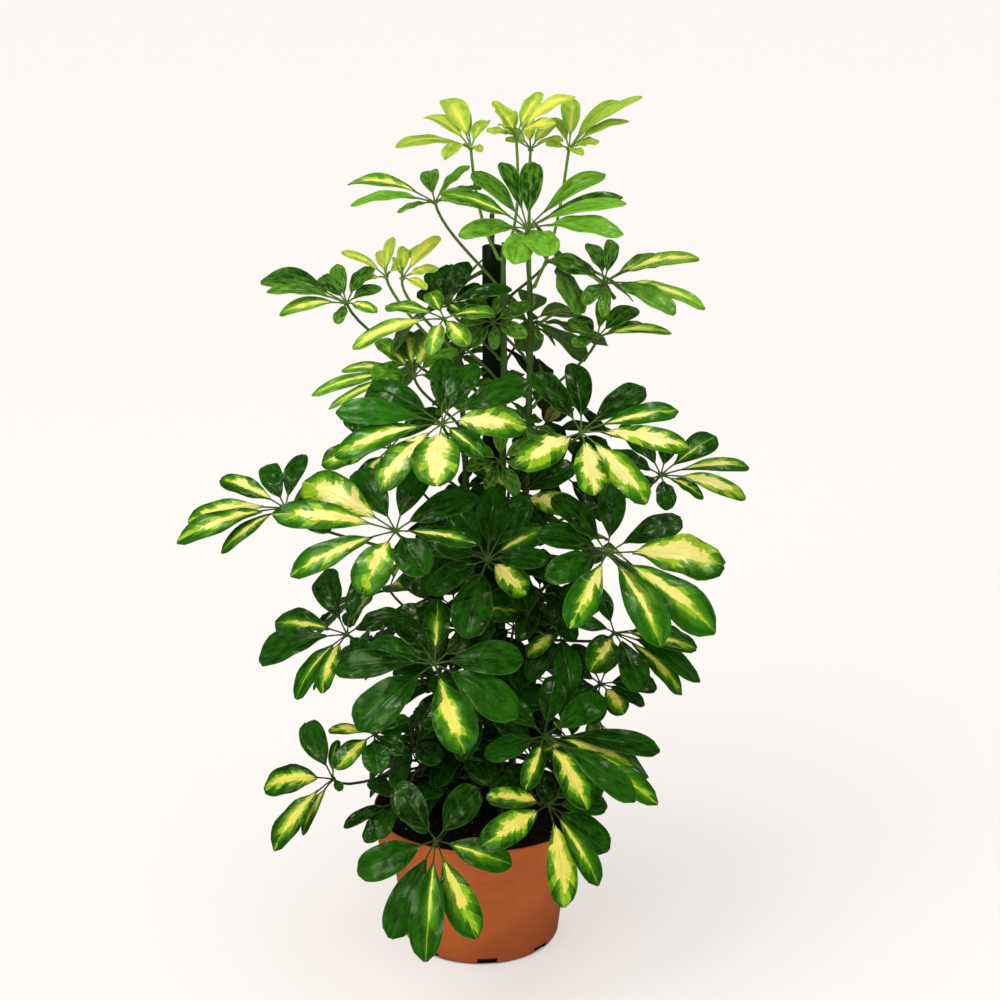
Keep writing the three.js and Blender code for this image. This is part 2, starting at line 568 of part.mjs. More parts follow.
// Star of leaflets round a hub, as one closed body
function starSolid(leaf) {
  const { out, up, right } = leaf.frame;
  const leaflets = [...leaf.leaflets].sort((a, b) => a.turn - b.turn);
  const corners = [];
  const corner = (turn) => {
    const angle = radians(turn);
    const spot = leaf.hub.clone().addScaledVector(up, HUB_RADIUS * Math.cos(angle));
    spot.addScaledVector(right, HUB_RADIUS * Math.sin(angle));
    corners.push([spot.clone().addScaledVector(out, HUB_HEIGHT / 2),
      spot.clone().addScaledVector(out, -HUB_HEIGHT / 2)]);
  };
  const owners = [];
  leaflets.forEach((leaflet, i) => {
    const before = i === 0 ? leaflets[leaflets.length - 1].turn - 360 : leaflets[i - 1].turn;
    const gap = leaflet.turn - before;
    if (gap > HUB_OPEN_TURN) {
      corner(before + HUB_CORNER_TURN);
      owners.push(null);
      corner(leaflet.turn - HUB_CORNER_TURN);
    } else {
      corner(before + gap / 2);
    }
    owners.push(leaflet);
  });
  const { points, put } = pointStore();
  const triangles = [];
  const count = corners.length;
  owners.forEach((leaflet, i) => {
    const [a, au] = corners[i];
    const [b, bu] = corners[(i + 1) % count];
    if (leaflet === null) {
      triangles.push(put(a), put(b), put(au), put(b), put(bu), put(au));
      return;
    }
    addSkin([[a, b, bu, au], ...leafletRows(leaf, leaflet)], put, triangles);
  });
  for (let i = 1; i + 1 < count; i += 1) {
    triangles.push(put(corners[0][0]), put(corners[i + 1][0]), put(corners[i][0]));
    triangles.push(put(corners[0][1]), put(corners[i][1]), put(corners[i + 1][1]));
  }
  return solidOf(Float32Array.from(points), Uint32Array.from(triangles));
}

function meets(a, b) {
  for (let i = 0; i < 3; i += 1) {
    if (a.box.min[i] > b.box.max[i] || b.box.min[i] > a.box.max[i]) {
      return false;
    }
  }
  return a.solid.intersect(b.solid).volume() > LEAST_OVERLAP;
}

function taken(solid, owner, kind) {
  return { solid, box: solid.boundingBox(), owner, kind };
}

function leafFrom([name, stem, root, hub, facing, lift, stars, young = false]) {
  const leaflets = stars.map(([turn, length, width = length * USUAL_WIDTH_SHARE]) => (
    { turn, length, width, lift }));
  return { name, stem, root, hub: new THREE.Vector3(...hub), frame: starFrame(...facing), leaflets, young };
}

// Bends, turns or shortens each leaflet until it lies clear of all that is there, and leaves out one that
// can't
function settle(leaf, space) {
  const others = space.filter((other) => other.owner !== leaf.name);
  const own = space.filter((other) => other.owner === leaf.name && other.kind === "stalk");
  const placed = [];
  for (const wish of leaf.leaflets) {
    for (const [lift, turn, share] of TRIES) {
      const leaflet = {
        turn: wish.turn + turn,
        lift: wish.lift + lift,
        length: wish.length * share,
        width: wish.width * share,
        wish: wish.length,
      };
      const whole = taken(leafletSolid(leaf, leaflet, SPARE, true), leaf.name, "leaflet");
      const blade = taken(leafletSolid(leaf, leaflet, SPARE, false), leaf.name, "blade");
      if (!others.some((other) => meets(whole, other)) && !own.some((other) => meets(blade, other))) {
        space.push(whole);
        own.push(blade);
        placed.push(leaflet);
        break;
      }
    }
  }
  leaf.leaflets = placed;
}

// Room kept free round a hub, where its leaflets' necks start
function hubRoom(leaf) {
  const ball = new THREE.IcosahedronGeometry(HUB_ROOM, 0);
  ball.translate(leaf.hub.x, leaf.hub.y, leaf.hub.z);
  return taken(solidFrom(ball), leaf.name, "hub");
}

// One place for a rear leaf from the draws, still without leaflets
function rearPlace(next, i, height) {
  const turn = REAR_FIRST_TURN + REAR_SWEEP * next();
  const share = i % REAR_INNER_EACH === 0 ? REAR_INNER_REACH : 1;
  const wide = THREE.MathUtils.mapLinear(height, REAR_LOWEST, REAR_HIGHEST, REAR_LOW_REACH, REAR_HIGH_REACH);
  const reach = wide * share * (REAR_LEAST_REACH + (1 - REAR_LEAST_REACH) * next());
  const angle = radians(turn);
  const x = REAR_MIDDLE + REAR_SQUEEZE * reach * Math.sin(angle);
  const hub = [x, -reach * Math.cos(angle), height + REAR_HEIGHT_DRAW * next()];
  const side = x < 0 ? "stem_left" : "stem_right";
  const stem = Math.abs(x) < REAR_BACK_HALF_WIDTH ? "stem_back" : side;
  const top = STEMS[stem][STEMS[stem].length - 1][2];
  const root = Math.min(top - REAR_TOP_ROOM - REAR_TOP_DRAW * next(), hub[2] - REAR_ROOT_DROP * reach);
  const tilt = REAR_TILT + REAR_TILT_DRAW * next();
  return leafFrom([`rear_${i + 1}`, stem, Math.max(root, REAR_LOWEST_ROOT), hub, [turn, tilt], 0, []]);
}

// Leaves round the back and sides: each takes the first place from its draws where its stalk and hub are
// clear
function rearLeaves(space) {
  const next = draws(REAR_SEED);
  const made = [];
  for (let i = 0; i < REAR_COUNT; i += 1) {
    const height = THREE.MathUtils.lerp(REAR_LOWEST, REAR_HIGHEST, i / (REAR_COUNT - 1));
    for (let k = 0; k < REAR_TRIES; k += 1) {
      const leaf = rearPlace(next, i, height);
      const stalk = taken(stalkSolid(leaf, REAR_STALK_ROOM), leaf.name, "stalk");
      const room = hubRoom(leaf);
      const others = space.filter((other) => other.owner !== leaf.stem);
      if (others.some((other) => meets(stalk, other)) || space.some((other) => meets(room, other))) {
        continue;
      }
      space.push(stalk, room);
      const first = REAR_STAR_DRAW * next() - 180;
      for (let j = 0; j < REAR_LEAFLETS; j += 1) {
        const turn = first + (360 / REAR_LEAFLETS) * j;
        const more = Math.abs(turn) > REAR_LONG_PAST ? REAR_LONGER : REAR_SHORTER;
        const length = REAR_LENGTH + REAR_LENGTH_DRAW * next() + more;
        leaf.leaflets.push({ turn, length, width: length * USUAL_WIDTH_SHARE, lift: 0 });
      }
      settle(leaf, space);
      made.push(leaf);
      break;
    }
  }
  return made;
}

const plant = new THREE.Group();
plant.name = "potted_umbrella_plant";
const space = [
  taken(poleSolid(SUPPORT_ROOM), "pole", "pole"),
  taken(caneSolid(SUPPORT_ROOM), "cane", "cane"),
  taken(potSolid(), "pot", "pot"),
  taken(soilSolid(), "soil", "soil"),
];
for (const [name, points] of Object.entries(STEMS)) {
  space.push(taken(stemSolid(points, STEM_ROOM), name, "stem"));
}
const leaves = LEAVES.map(leafFrom);
for (const leaf of leaves) {
  space.push(taken(stalkSolid(leaf, STALK_ROOM), leaf.name, "stalk"), hubRoom(leaf));
}
for (const leaf of leaves) {
  settle(leaf, space);
}
leaves.push(...rearLeaves(space));

plant.add(node("pot", potSolid(), TERRACOTTA, POT_ROUGHNESS));
plant.add(node("soil", soilSolid(), SOIL_BROWN, SOIL_ROUGHNESS));
const socketRadius = CANE_RADIUS + GAP;
const socket = new THREE.CylinderGeometry(socketRadius, socketRadius, 2 * (CANE_SOCKET + GAP), CANE_SIDES);
socket.rotateX(Math.PI / 2);
socket.translate(POLE_AT[0], POLE_AT[1], POLE_TOP);
plant.add(node("support_pole", poleSolid().subtract(solidFrom(socket)), POLE_DARK, POLE_ROUGHNESS));
plant.add(node("support_cane", caneSolid(), CANE_DARK, CANE_ROUGHNESS));
for (const [name, points] of Object.entries(STEMS)) {
  plant.add(node(name, stemSolid(points), STEM_GREEN, STEM_ROUGHNESS));
}
for (const leaf of leaves) {
  const solid = starSolid(leaf).add(stalkSolid(leaf));
  const green = leaf.young ? YOUNG_GREEN : LEAF_GREEN;
  plant.add(node(`leaf_${leaf.name}`, solid, green, LEAF_ROUGHNESS));
}

export default plant;
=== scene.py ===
"""Potted umbrella plant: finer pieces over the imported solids, with finishes, light and camera."""
import logging
import math
from collections.abc import Iterator, Sequence
from dataclasses import dataclass, field, replace
from enum import Enum

import bmesh
import bpy
from mathutils import Matrix, Quaternion, Vector, kdtree, noise

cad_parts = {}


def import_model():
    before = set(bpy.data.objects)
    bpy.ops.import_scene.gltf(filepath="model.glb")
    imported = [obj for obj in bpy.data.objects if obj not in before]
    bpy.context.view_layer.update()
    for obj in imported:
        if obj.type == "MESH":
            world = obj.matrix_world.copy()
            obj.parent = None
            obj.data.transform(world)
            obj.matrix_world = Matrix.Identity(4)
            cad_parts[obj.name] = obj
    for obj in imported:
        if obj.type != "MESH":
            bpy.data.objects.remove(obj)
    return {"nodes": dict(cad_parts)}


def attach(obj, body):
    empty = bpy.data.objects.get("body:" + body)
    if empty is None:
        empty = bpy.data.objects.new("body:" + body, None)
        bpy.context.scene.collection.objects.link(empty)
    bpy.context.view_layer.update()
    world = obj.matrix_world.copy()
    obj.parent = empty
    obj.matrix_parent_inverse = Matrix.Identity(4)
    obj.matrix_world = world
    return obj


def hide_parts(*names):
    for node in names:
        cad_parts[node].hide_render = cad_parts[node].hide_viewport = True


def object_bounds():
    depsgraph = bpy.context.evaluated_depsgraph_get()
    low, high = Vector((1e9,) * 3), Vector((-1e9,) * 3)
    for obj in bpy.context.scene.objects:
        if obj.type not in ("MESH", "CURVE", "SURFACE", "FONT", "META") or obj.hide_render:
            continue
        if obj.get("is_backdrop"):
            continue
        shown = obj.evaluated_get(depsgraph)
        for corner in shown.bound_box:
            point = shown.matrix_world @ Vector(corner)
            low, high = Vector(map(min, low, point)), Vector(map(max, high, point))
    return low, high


LOG = logging.getLogger("umbrella_plant")
MM = 0.001
BODY = "root"

Colour = tuple[float, float, float, float]
Point = tuple[float, float, float]


def srgb(red: int, green: int, blue: int) -> Colour:
    """Turns a screen colour into a linear one.

    Args:
        red: Red from 0 to 255.
        green: Green from 0 to 255.
        blue: Blue from 0 to 255.

    Returns:
        The linear colour with full alpha.
    """
    parts = [value / 255 for value in (red, green, blue)]
    linear = [part / 12.92 if part <= 0.04045 else ((part + 0.055) / 1.055) ** 2.4 for part in parts]
    return (linear[0], linear[1], linear[2], 1.0)


def spread(value: float, low: float, high: float, to_low: float, to_high: float) -> float:
    """Maps a value from one range to another, with no limit at the ends."""
    return to_low + (value - low) * (to_high - to_low) / (high - low)


def through(points: Sequence[tuple[float, float]], at: float) -> float:
    """Reads a smooth curve through points.

    Args:
        points: Points of the curve as (place, value), in order of place.
        at: The place to read.

    Returns:
        The value on a cubic curve through the points.
    """
    last = len(points) - 1
    i = next((k for k in range(last) if at <= points[k + 1][0]), last - 1)
    (x0, y0), (x1, y1) = points[i], points[i + 1]
    before, after = points[max(i - 1, 0)], points[min(i + 2, last)]
    slope0 = (y1 - before[1]) / max(x1 - before[0], 1e-6)
    slope1 = (after[1] - y0) / max(after[0] - x0, 1e-6)
    wide = x1 - x0
    s = min(max((at - x0) / wide, 0.0), 1.0)
    h00, h10 = 2 * s**3 - 3 * s**2 + 1, s**3 - 2 * s**2 + s
    h01, h11 = -2 * s**3 + 3 * s**2, s**3 - s**2
    return h00 * y0 + h10 * wide * slope0 + h01 * y1 + h11 * wide * slope1


class Draws:
    """Numbers from 0 to 1 that come out the same on every run."""

    MULTIPLIER = 16807
    MODULUS = 2147483647

    def __init__(self, seed: int) -> None:
        """Starts the draws from a seed."""
        self.state = seed

    def next(self) -> float:
        """Returns the next number from 0 to 1."""
        self.state = (self.state * self.MULTIPLIER) % self.MODULUS
        return self.state / self.MODULUS

    def between(self, low: float, high: float) -> float:
        """Returns the next number from low to high."""
        return low + (high - low) * self.next()


class Signal:
    """A number or colour that varies over a surface: a node's output, with sums that add Math nodes."""

    def __init__(self, finish: "Finish", socket: bpy.types.NodeSocket) -> None:
        """Keeps the output and the finish that it belongs to."""
        self.finish = finish
        self.socket = socket

    def __add__(self, other: "Signal | float") -> "Signal":
        """Returns this plus another."""
        return self.finish.calc("ADD", self, other)

    def __radd__(self, other: float) -> "Signal":
        """Returns a plain number plus this."""
        return self.finish.calc("ADD", other, self)

    def __sub__(self, other: "Signal | float") -> "Signal":
        """Returns this less another."""
        return self.finish.calc("SUBTRACT", self, other)

    def __rsub__(self, other: float) -> "Signal":
        """Returns a plain number less this."""
        return self.finish.calc("SUBTRACT", other, self)

    def __mul__(self, other: "Signal | float") -> "Signal":
        """Returns this times another."""
        return self.finish.calc("MULTIPLY", self, other)

    def __truediv__(self, other: "Signal | float") -> "Signal":
        """Returns this over another."""
        return self.finish.calc("DIVIDE", self, other)

    def __pow__(self, power: float) -> "Signal":
        """Returns this to a power."""
        return self.finish.calc("POWER", self, power)

    def __abs__(self) -> "Signal":
        """Returns this without its sign."""
        return self.finish.calc("ABSOLUTE", self)


class Finish:
    """One material's node tree, with short calls for the nodes that the finishes use."""

    def __init__(self, name: str) -> None:
        """Makes an empty material with a Principled shader on its output.

        Args:
            name: The material's name.
        """
        self.material = bpy.data.materials.new(name)
        self.material.use_nodes = True
        self.tree = self.material.node_tree
        self.tree.nodes.clear()
        self.shader = self.tree.nodes.new("ShaderNodeBsdfPrincipled")
        output = self.tree.nodes.new("ShaderNodeOutputMaterial")
        self.tree.links.new(self.shader.outputs["BSDF"], output.inputs["Surface"])

    def node(self, kind: str, *values: object) -> bpy.types.Node:
        """Adds a node and fills its first sockets.

        Args:
            kind: The node's type, without the words before its own name.
            values: Plain values or signals for its first sockets.

        Returns:
            The node.
        """
        node = self.tree.nodes.new(f"ShaderNode{kind}")
        for socket, value in zip(node.inputs, values):
            self.plug(socket, value)
        return node

    def plug(self, socket: bpy.types.NodeSocket, value: object) -> None:
        """Links a signal to a socket, or sets the socket's own value.

        Args:
            socket: The socket.
            value: The signal or the plain value.
        """
        if isinstance(value, Signal):
            self.tree.links.new(value.socket, socket)
        else:
            socket.default_value = value

    def set(self, **values: object) -> None:
        """Sets or links the shader's sockets, named with underscores for spaces."""
        for name, value in values.items():
            self.plug(self.shader.inputs[name.replace("_", " ")], value)

    def calc(self, operation: str, *values: object) -> Signal:
        """Adds a Math node.

        Args:
            operation: The node's operation.
            values: Its numbers or signals.

        Returns:
            The result.
        """
        node = self.node("Math", *values)
        node.operation = operation
        return Signal(self, node.outputs[0])

    def step(self, value: object, edge: object, soft: float) -> Signal:
        """Tells the part where a value is under an edge from the part where it is over it.

        Args:
            value: The value.
            edge: The edge.
            soft: Width of the border between the parts.

        Returns:
            1 under the edge and 0 over it, with a soft border.
        """
        share = self.calc("SUBTRACT", edge, value) / soft
        return Signal(self, self.node("Clamp", share + 0.5).outputs[0])

    def mix(self, share: object, a: object, b: object) -> Signal:
        """Adds a colour mix.

        Args:
            share: How much of b shows.
            a: First colour.
            b: Second colour.

        Returns:
            The mixed colour.
        """
        node = self.node("Mix")
        node.data_type = "RGBA"
        node.clamp_factor = True
        for socket, value in zip((node.inputs[0], node.inputs[6], node.inputs[7]), (share, a, b)):
            self.plug(socket, value)
        return Signal(self, node.outputs[2])

    def fit(self, value: Signal, low: float, high: float, to_low: float, to_high: float) -> Signal:
        """Maps a signal from one range to another and keeps it within the ends."""
        return Signal(self, self.node("MapRange", value, low, high, to_low, to_high).outputs[0])

    def vector(self, x: object, y: object, z: object) -> Signal:
        """Joins three numbers into a vector."""
        return Signal(self, self.node("CombineXYZ", x, y, z).outputs[0])

    def parts(self, vector: Signal) -> list[Signal]:
        """Splits a vector into its three numbers."""
        return [Signal(self, socket) for socket in self.node("SeparateXYZ", vector).outputs]

    def attribute(self, name: str) -> list[Signal]:
        """Reads a vector attribute of the mesh.

        Args:
            name: The attribute's name.

        Returns:
            Its three numbers.
        """
        node = self.node("Attribute")
        node.attribute_name = name
        return self.parts(Signal(self, node.outputs["Vector"]))

    def place(self) -> Signal:
        """Returns the place on the object, in metres."""
        return Signal(self, self.node("TexCoord").outputs["Object"])

    def off_axis(self, x: Signal, y: Signal) -> Signal:
        """Returns the distance from the plant's axis."""
        return self.calc("SQRT", x * x + y * y)

    def stretched(self, vector: Signal, scale: Point) -> Signal:
        """Scales a vector along its axes.

        Args:
            vector: The vector.
            scale: The scale along each axis.

        Returns:
            The scaled vector.
        """
        node = self.node("Mapping", vector)
        node.inputs["Scale"].default_value = scale
        return Signal(self, node.outputs[0])

    def cloud(self, vector: Signal, scale: float, detail: float = 3.0, rough: float = 0.55) -> Signal:
        """Adds a noise texture.

        Args:
            vector: Where it is read.
            scale: Its scale.
            detail: How many finer layers it has.
            rough: How strong the finer layers are.

        Returns:
            The noise, from 0 to 1.
        """
        node = self.node("TexNoise")
        for name, value in (("Vector", vector), ("Scale", scale), ("Detail", detail), ("Roughness", rough)):
            self.plug(node.inputs[name], value)
        return Signal(self, node.outputs["Fac"])

    def dice(self, vector: Signal) -> list[Signal]:
        """Draws numbers that stay the same wherever a vector does.

        Args:
            vector: The vector.

        Returns:
            Three numbers from 0 to 1.
        """
        node = self.node("TexWhiteNoise", vector)
        node.noise_dimensions = "3D"
        return self.parts(Signal(self, node.outputs["Color"]))

    def bump(self, height: Signal, depth: float, strength: float = 1.0,
             over: Signal | None = None) -> Signal:
        """Adds a Bump node.

        Args:
            height: The height that shades the surface.
            depth: How deep a height of 1 is, in metres.
            strength: How much of it shows.
            over: Another bump's normal to build on.

        Returns:
            The bent normal.
        """
        node = self.node("Bump")
        for name, value in (("Strength", strength), ("Distance", depth), ("Height", height)):
            self.plug(node.inputs[name], value)
        if over is not None:
            self.plug(node.inputs["Normal"], over)
        return Signal(self, node.outputs[0])


@dataclass(frozen=True)
class BladeFinish:
    """Glossy leaf skin with a cream splash along its midrib, torn along the side veins."""

    name: str
    deep: Colour
    green: Colour
    fresh: Colour
    lime: Colour
    cream: Colour
    edge: Colour
    rib: Colour
    roughness: float = 0.22
    coat: float = 0.03
    gloss: float = 0.28
    sheen: Colour = (0.82, 1.0, 0.6, 1.0)
    painted_shade_gold: Colour = srgb(224, 208, 82)
    painted_shade_below: float = 0.42
    cream_above: float = 0.72
    veins: float = 8.0
    teeth: float = 2.7
    vein_slant: float = 0.24

    def make(self) -> bpy.types.Material:
        """Builds the material.

        Returns:
            The material.
        """
        f = Finish(self.name)
        u, v, half = f.attribute("place")
        splash, tone, seed = f.attribute("traits")
        x = abs(u)
        side = f.calc("GREATER_THAN", u, 0.0)
        own = f.vector(u * 0.6, v, seed * 61.0)
        wobble = f.cloud(own, 7.0, 2.0) - 0.5
        vein = v - x * self.vein_slant + wobble * 0.05

        # Each strip between two side veins draws its own share of the splash.
        both = seed * 97.0 + side * 7.0
        broad, patch, _ = f.dice(f.vector(f.calc("FLOOR", vein * self.veins), both, 3.0))
        tooth, fleck, _ = f.dice(f.vector(f.calc("FLOOR", vein * (self.veins * self.teeth)), both, 9.0))
        lean, reach, _ = f.dice(f.vector(both, 5.0, 5.0))

        # Cream in the middle, lime patches round it, and a soft glow of fresh green round both.
        amount = splash * (0.24 + lean * 0.78)
        taper = 1.1 - v * 0.66
        ragged = 0.29 + broad * 0.86 + tooth * 0.3
        end = 0.38 + splash * 0.42 + reach * 0.16
        stop = f.step(vein + tooth * 0.1, end, 0.18)
        cream_edge = amount * taper * (ragged * stop) + wobble * (amount * 0.9) * stop
        far = f.step(vein, end + patch * 0.3, 0.12)
        lime_edge = cream_edge + (0.1 + patch**2.0 * 0.8) * (amount * far)
        glow_edge = lime_edge + (0.1 + lean * 0.25) * far
        some = f.step(0.06, splash, 0.02)
        cream = f.step(x, cream_edge, 0.05) * some
        lime = f.step(x, lime_edge, 0.08) * some
        glow = f.step(x, glow_edge, 0.4) * some

        # The green, lighter towards the tip, with faint veins; its tone is partly painted light and shade.
        mottle = f.cloud(own, 5.0, 3.0)
        shade = tone * 0.75 + f.fit(mottle, 0.3, 0.7, -0.24, 0.32) + f.fit(v, 0.0, 0.9, -0.12, 0.16)
        veined = f.step(abs(f.calc("FRACT", vein * self.veins) - 0.5), 0.05, 0.07)
        skin = f.mix(shade, self.deep, self.green)
        for share in (glow * 0.6, fleck * 0.06, veined * 0.06):
            skin = f.mix(share, skin, self.fresh)
        skin = f.mix(lime * 0.85, skin, f.mix(tooth * 0.6, self.lime, self.fresh))

        # Painted shade: the cream is painted more golden and darker low down, where the leaves lie in
        # shade.
        _, _, height = f.parts(f.place())
        painted_shade_cream = f.mix(f.fit(height, self.painted_shade_below, self.cream_above, 0.8, 0.0), self.cream, self.painted_shade_gold)
        skin = f.mix(cream, skin, f.mix(f.fit(mottle, 0.45, 0.75, 0.0, 0.3), painted_shade_cream, self.lime))
        off_rib, off_edge = x * half, (1.0 - x) * half
        rib = f.step(off_rib, f.fit(v, 0.0, 1.0, 0.75, 0.2), 0.35)
        skin = f.mix(rib * 0.12, skin, self.rib)
        skin = f.mix(f.step(off_edge, 0.4, 0.5) * 0.3, skin, self.edge)
        rough = f.fit(mottle, 0.3, 0.7, self.roughness - 0.05, self.roughness + 0.09)
        f.set(Base_Color=skin, Roughness=rough, Coat_Weight=self.coat, Coat_Roughness=0.16)
        f.set(Specular_IOR_Level=self.gloss, Specular_Tint=self.sheen)

        # A groove along the midrib and the veins, soft swells between them, and a fine grain.
        groove = f.fit(off_rib, 0.0, 1.6, 0.0, 1.0) - veined * 0.16
        swell = f.cloud(f.vector(u * 0.24, v, seed * 43.0), 4.4, 0.0)
        quilted = f.bump(swell, 0.0045, 0.9, f.bump(groove, 0.0005, 0.7))
        f.set(Normal=f.bump(f.cloud(f.place(), 150.0, 2.0), 0.0004, 0.3, quilted))
        return f.material


@dataclass(frozen=True)
class UndersideFinish:
    """Paler, duller skin of a leaf's underside, with the splash showing faintly through."""

    name: str
    green: Colour
    light: Colour
    pale: Colour
    roughness: float = 0.55
    veins: float = 11.0
    vein_slant: float = 0.24

    def make(self) -> bpy.types.Material:
        """Builds the material.

        Returns:
            The material.
        """
        f = Finish(self.name)
        u, v, half = f.attribute("place")
        splash, tone, seed = f.attribute("traits")
        x = abs(u)
        mottle = f.cloud(f.vector(u * 0.6, v, seed * 61.0), 6.0, 3.0)
        vein = v - x * self.vein_slant
        veined = f.step(abs(f.calc("FRACT", vein * self.veins) - 0.5), 0.06, 0.08)
        skin = f.mix(tone * 0.6 + f.fit(mottle, 0.3, 0.7, 0.0, 0.3), self.green, self.light)
        skin = f.mix(veined * 0.3, skin, self.light)
        inner = f.step(x + (mottle - 0.5) * 0.5, splash * (0.8 - v * 0.6), 0.08)
        skin = f.mix(inner * 0.75, skin, self.pale)
        skin = f.mix(f.step((1.0 - x) * half, 0.4, 0.4) * 0.5, skin, self.pale)
        f.set(Base_Color=skin, Roughness=f.fit(mottle, 0.3, 0.7, self.roughness, self.roughness + 0.12))
        f.set(Specular_IOR_Level=0.25, Normal=f.bump(veined + mottle, 0.0004, 0.6))
        return f.material


@dataclass(frozen=True)
class StalkFinish:
    """Smooth green stalk skin, browner towards the foot of the plant, with faint streaks."""

    name: str
    low: Colour
    high: Colour
    fleck: Colour
    from_height: float = 0.2
    to_height: float = 0.85
    roughness: float = 0.42

    def make(self) -> bpy.types.Material:
        """Builds the material.

        Returns:
            The material.
        """
        f = Finish(self.name)
        place = f.place()
        _, _, z = f.parts(place)
        streak = f.cloud(f.stretched(place, (420.0, 420.0, 30.0)), 1.0, 3.0)
        blotch = f.cloud(place, 26.0, 3.0)
        height = f.fit(z, self.from_height, self.to_height, 0.0, 1.0)
        skin = f.mix(height + f.fit(blotch, 0.3, 0.7, -0.25, 0.25), self.low, self.high)
        skin = f.mix(f.fit(streak, 0.52, 0.72, 0.0, 0.55), skin, self.fleck)
        rough = f.fit(blotch, 0.3, 0.7, self.roughness - 0.06, self.roughness + 0.14)
        f.set(Base_Color=skin, Roughness=rough, Specular_IOR_Level=0.3)
        f.set(Normal=f.bump(streak, 0.0005, 0.5))
        return f.material


@dataclass(frozen=True)
class PlasticFinish:
    """Moulded nursery-pot plastic: satin, faintly mottled, with painted shade at the foot, inside the
    notches and on the inner wall above the soil.
    """

    name: str = "pot_plastic"
    brown: Colour = srgb(190, 96, 32)
    dull: Colour = srgb(172, 82, 27)
    dust: Colour = srgb(168, 104, 60)
    painted_inner_shade: Colour = srgb(60, 26, 12)
    foot: Colour = srgb(112, 44, 14)
    painted_notch_shade: Colour = (0.004, 0.003, 0.002, 1.0)
    painted_foot_shade_height: float = 0.07
    notch_inside: float = 0.0966
    notch_height: float = 0.011
    rim_inside: float = 0.1333
    rim_height: float = 0.175
    rim_lean: float = 0.095
    inner_shade_from: float = 0.14
    ring_count: float = 2100.0

    def make(self) -> bpy.types.Material:
        """Builds the material.

        Returns:
            The material.
        """
        f = Finish(self.name)
        place = f.place()
        x, y, z = f.parts(place)
        clouds = f.cloud(place, 9.0, 4.0)
        scuffs = f.cloud(f.stretched(place, (60.0, 60.0, 240.0)), 1.0, 4.0, 0.7)
        skin = f.mix(f.fit(clouds, 0.35, 0.65, 0.0, 1.0), self.brown, self.dull)
        low = f.fit(z, 0.0, 0.05, 0.1, 0.0)
        skin = f.mix(f.fit(scuffs, 0.5, 0.75, 0.0, 1.0) * (low + 0.14), skin, self.dust)
        # Painted shade: the plastic is painted darker towards the foot.
        skin = f.mix(f.fit(z, 0.0, self.painted_foot_shade_height, 0.5, 0.0), skin, self.foot)
        radius = f.off_axis(x, y)
        # Painted shade: the pot's inside below the notch tops is painted near black.
        inside = f.step(radius, self.notch_inside, 0.001) * f.step(z, self.notch_height, 0.0006)
        skin = f.mix(inside * 0.94, skin, self.painted_notch_shade)
        # Painted shade: the inner wall above the soil is painted dark.
        bore = self.rim_inside - (self.rim_height - z) * self.rim_lean
        inner_shade = f.step(radius, bore, 0.0008) * f.step(self.inner_shade_from, z, 0.004)
        skin = f.mix(inner_shade * f.fit(scuffs, 0.3, 0.7, 0.75, 0.95), skin, self.painted_inner_shade)
        f.set(Base_Color=skin, Roughness=f.fit(scuffs, 0.3, 0.7, 0.36, 0.52), Specular_IOR_Level=0.3)
        grain = f.bump(f.cloud(place, 900.0, 2.0), 0.0002, 0.35)
        f.set(Normal=f.bump(f.calc("SINE", z * self.ring_count), 0.00003, 0.6, grain))
        return f.material


@dataclass(frozen=True)
class SoilFinish:
    """Coarse dark potting soil: near black, with brown bark bits."""

    name: str = "potting_soil"
    dark: Colour = srgb(15, 12, 8)
    brown: Colour = srgb(44, 33, 22)
    bark: Colour = srgb(78, 56, 36)

    def make(self) -> bpy.types.Material:
        """Builds the material.

        Returns:
            The material.
        """
        f = Finish(self.name)
        place = f.place()
        lumps = f.cloud(place, 120.0, 5.0, 0.65)
        bits = f.cloud(place, 330.0, 3.0)
        base = f.mix(f.fit(lumps, 0.35, 0.7, 0.0, 1.0), self.dark, self.brown)
        base = f.mix(f.fit(bits, 0.6, 0.72, 0.0, 0.7), base, self.bark)
        f.set(Base_Color=base, Roughness=f.fit(bits, 0.3, 0.7, 0.8, 0.98), Specular_IOR_Level=0.3)
        f.set(Normal=f.bump(bits, 0.0012, 0.8, f.bump(lumps, 0.004, 1.0)))
        return f.material


@dataclass(frozen=True)
class SpeckFinish:
    """White volcanic grit in the soil, dusted with it."""

    name: str = "soil_grit"
    white: Colour = srgb(222, 216, 200)
    dust: Colour = srgb(120, 104, 84)

    def make(self) -> bpy.types.Material:
        """Builds the material.

        Returns:
            The material.
        """
        f = Finish(self.name)
        grain = f.cloud(f.place(), 400.0, 3.0)
        skin = f.mix(f.fit(grain, 0.4, 0.7, 0.0, 1.0), self.white, self.dust)
        f.set(Base_Color=skin, Roughness=0.9, Normal=f.bump(grain, 0.0006, 0.8))
        return f.material


@dataclass(frozen=True)
class PoleFinish:
    """Dark, glossy coated pole with faint upright streaks and dull wear."""

    name: str = "pole_coating"
    dark: Colour = srgb(7, 22, 6)
    worn: Colour = srgb(22, 40, 16)

    def make(self) -> bpy.types.Material:
        """Builds the material.

        Returns:
            The material.
        """
        f = Finish(self.name)
        place = f.place()
        streak = f.cloud(f.stretched(place, (260.0, 260.0, 9.0)), 1.0, 3.0)
        wear = f.cloud(place, 45.0, 4.0)
        base = f.mix(f.fit(wear, 0.5, 0.75, 0.0, 0.7), self.dark, self.worn)
        f.set(Base_Color=base, Roughness=f.fit(streak, 0.35, 0.7, 0.3, 0.5), Coat_Weight=0.08)
        f.set(Specular_IOR_Level=0.25, Coat_Roughness=0.12, Normal=f.bump(streak, 0.0006, 0.6))
        return f.material


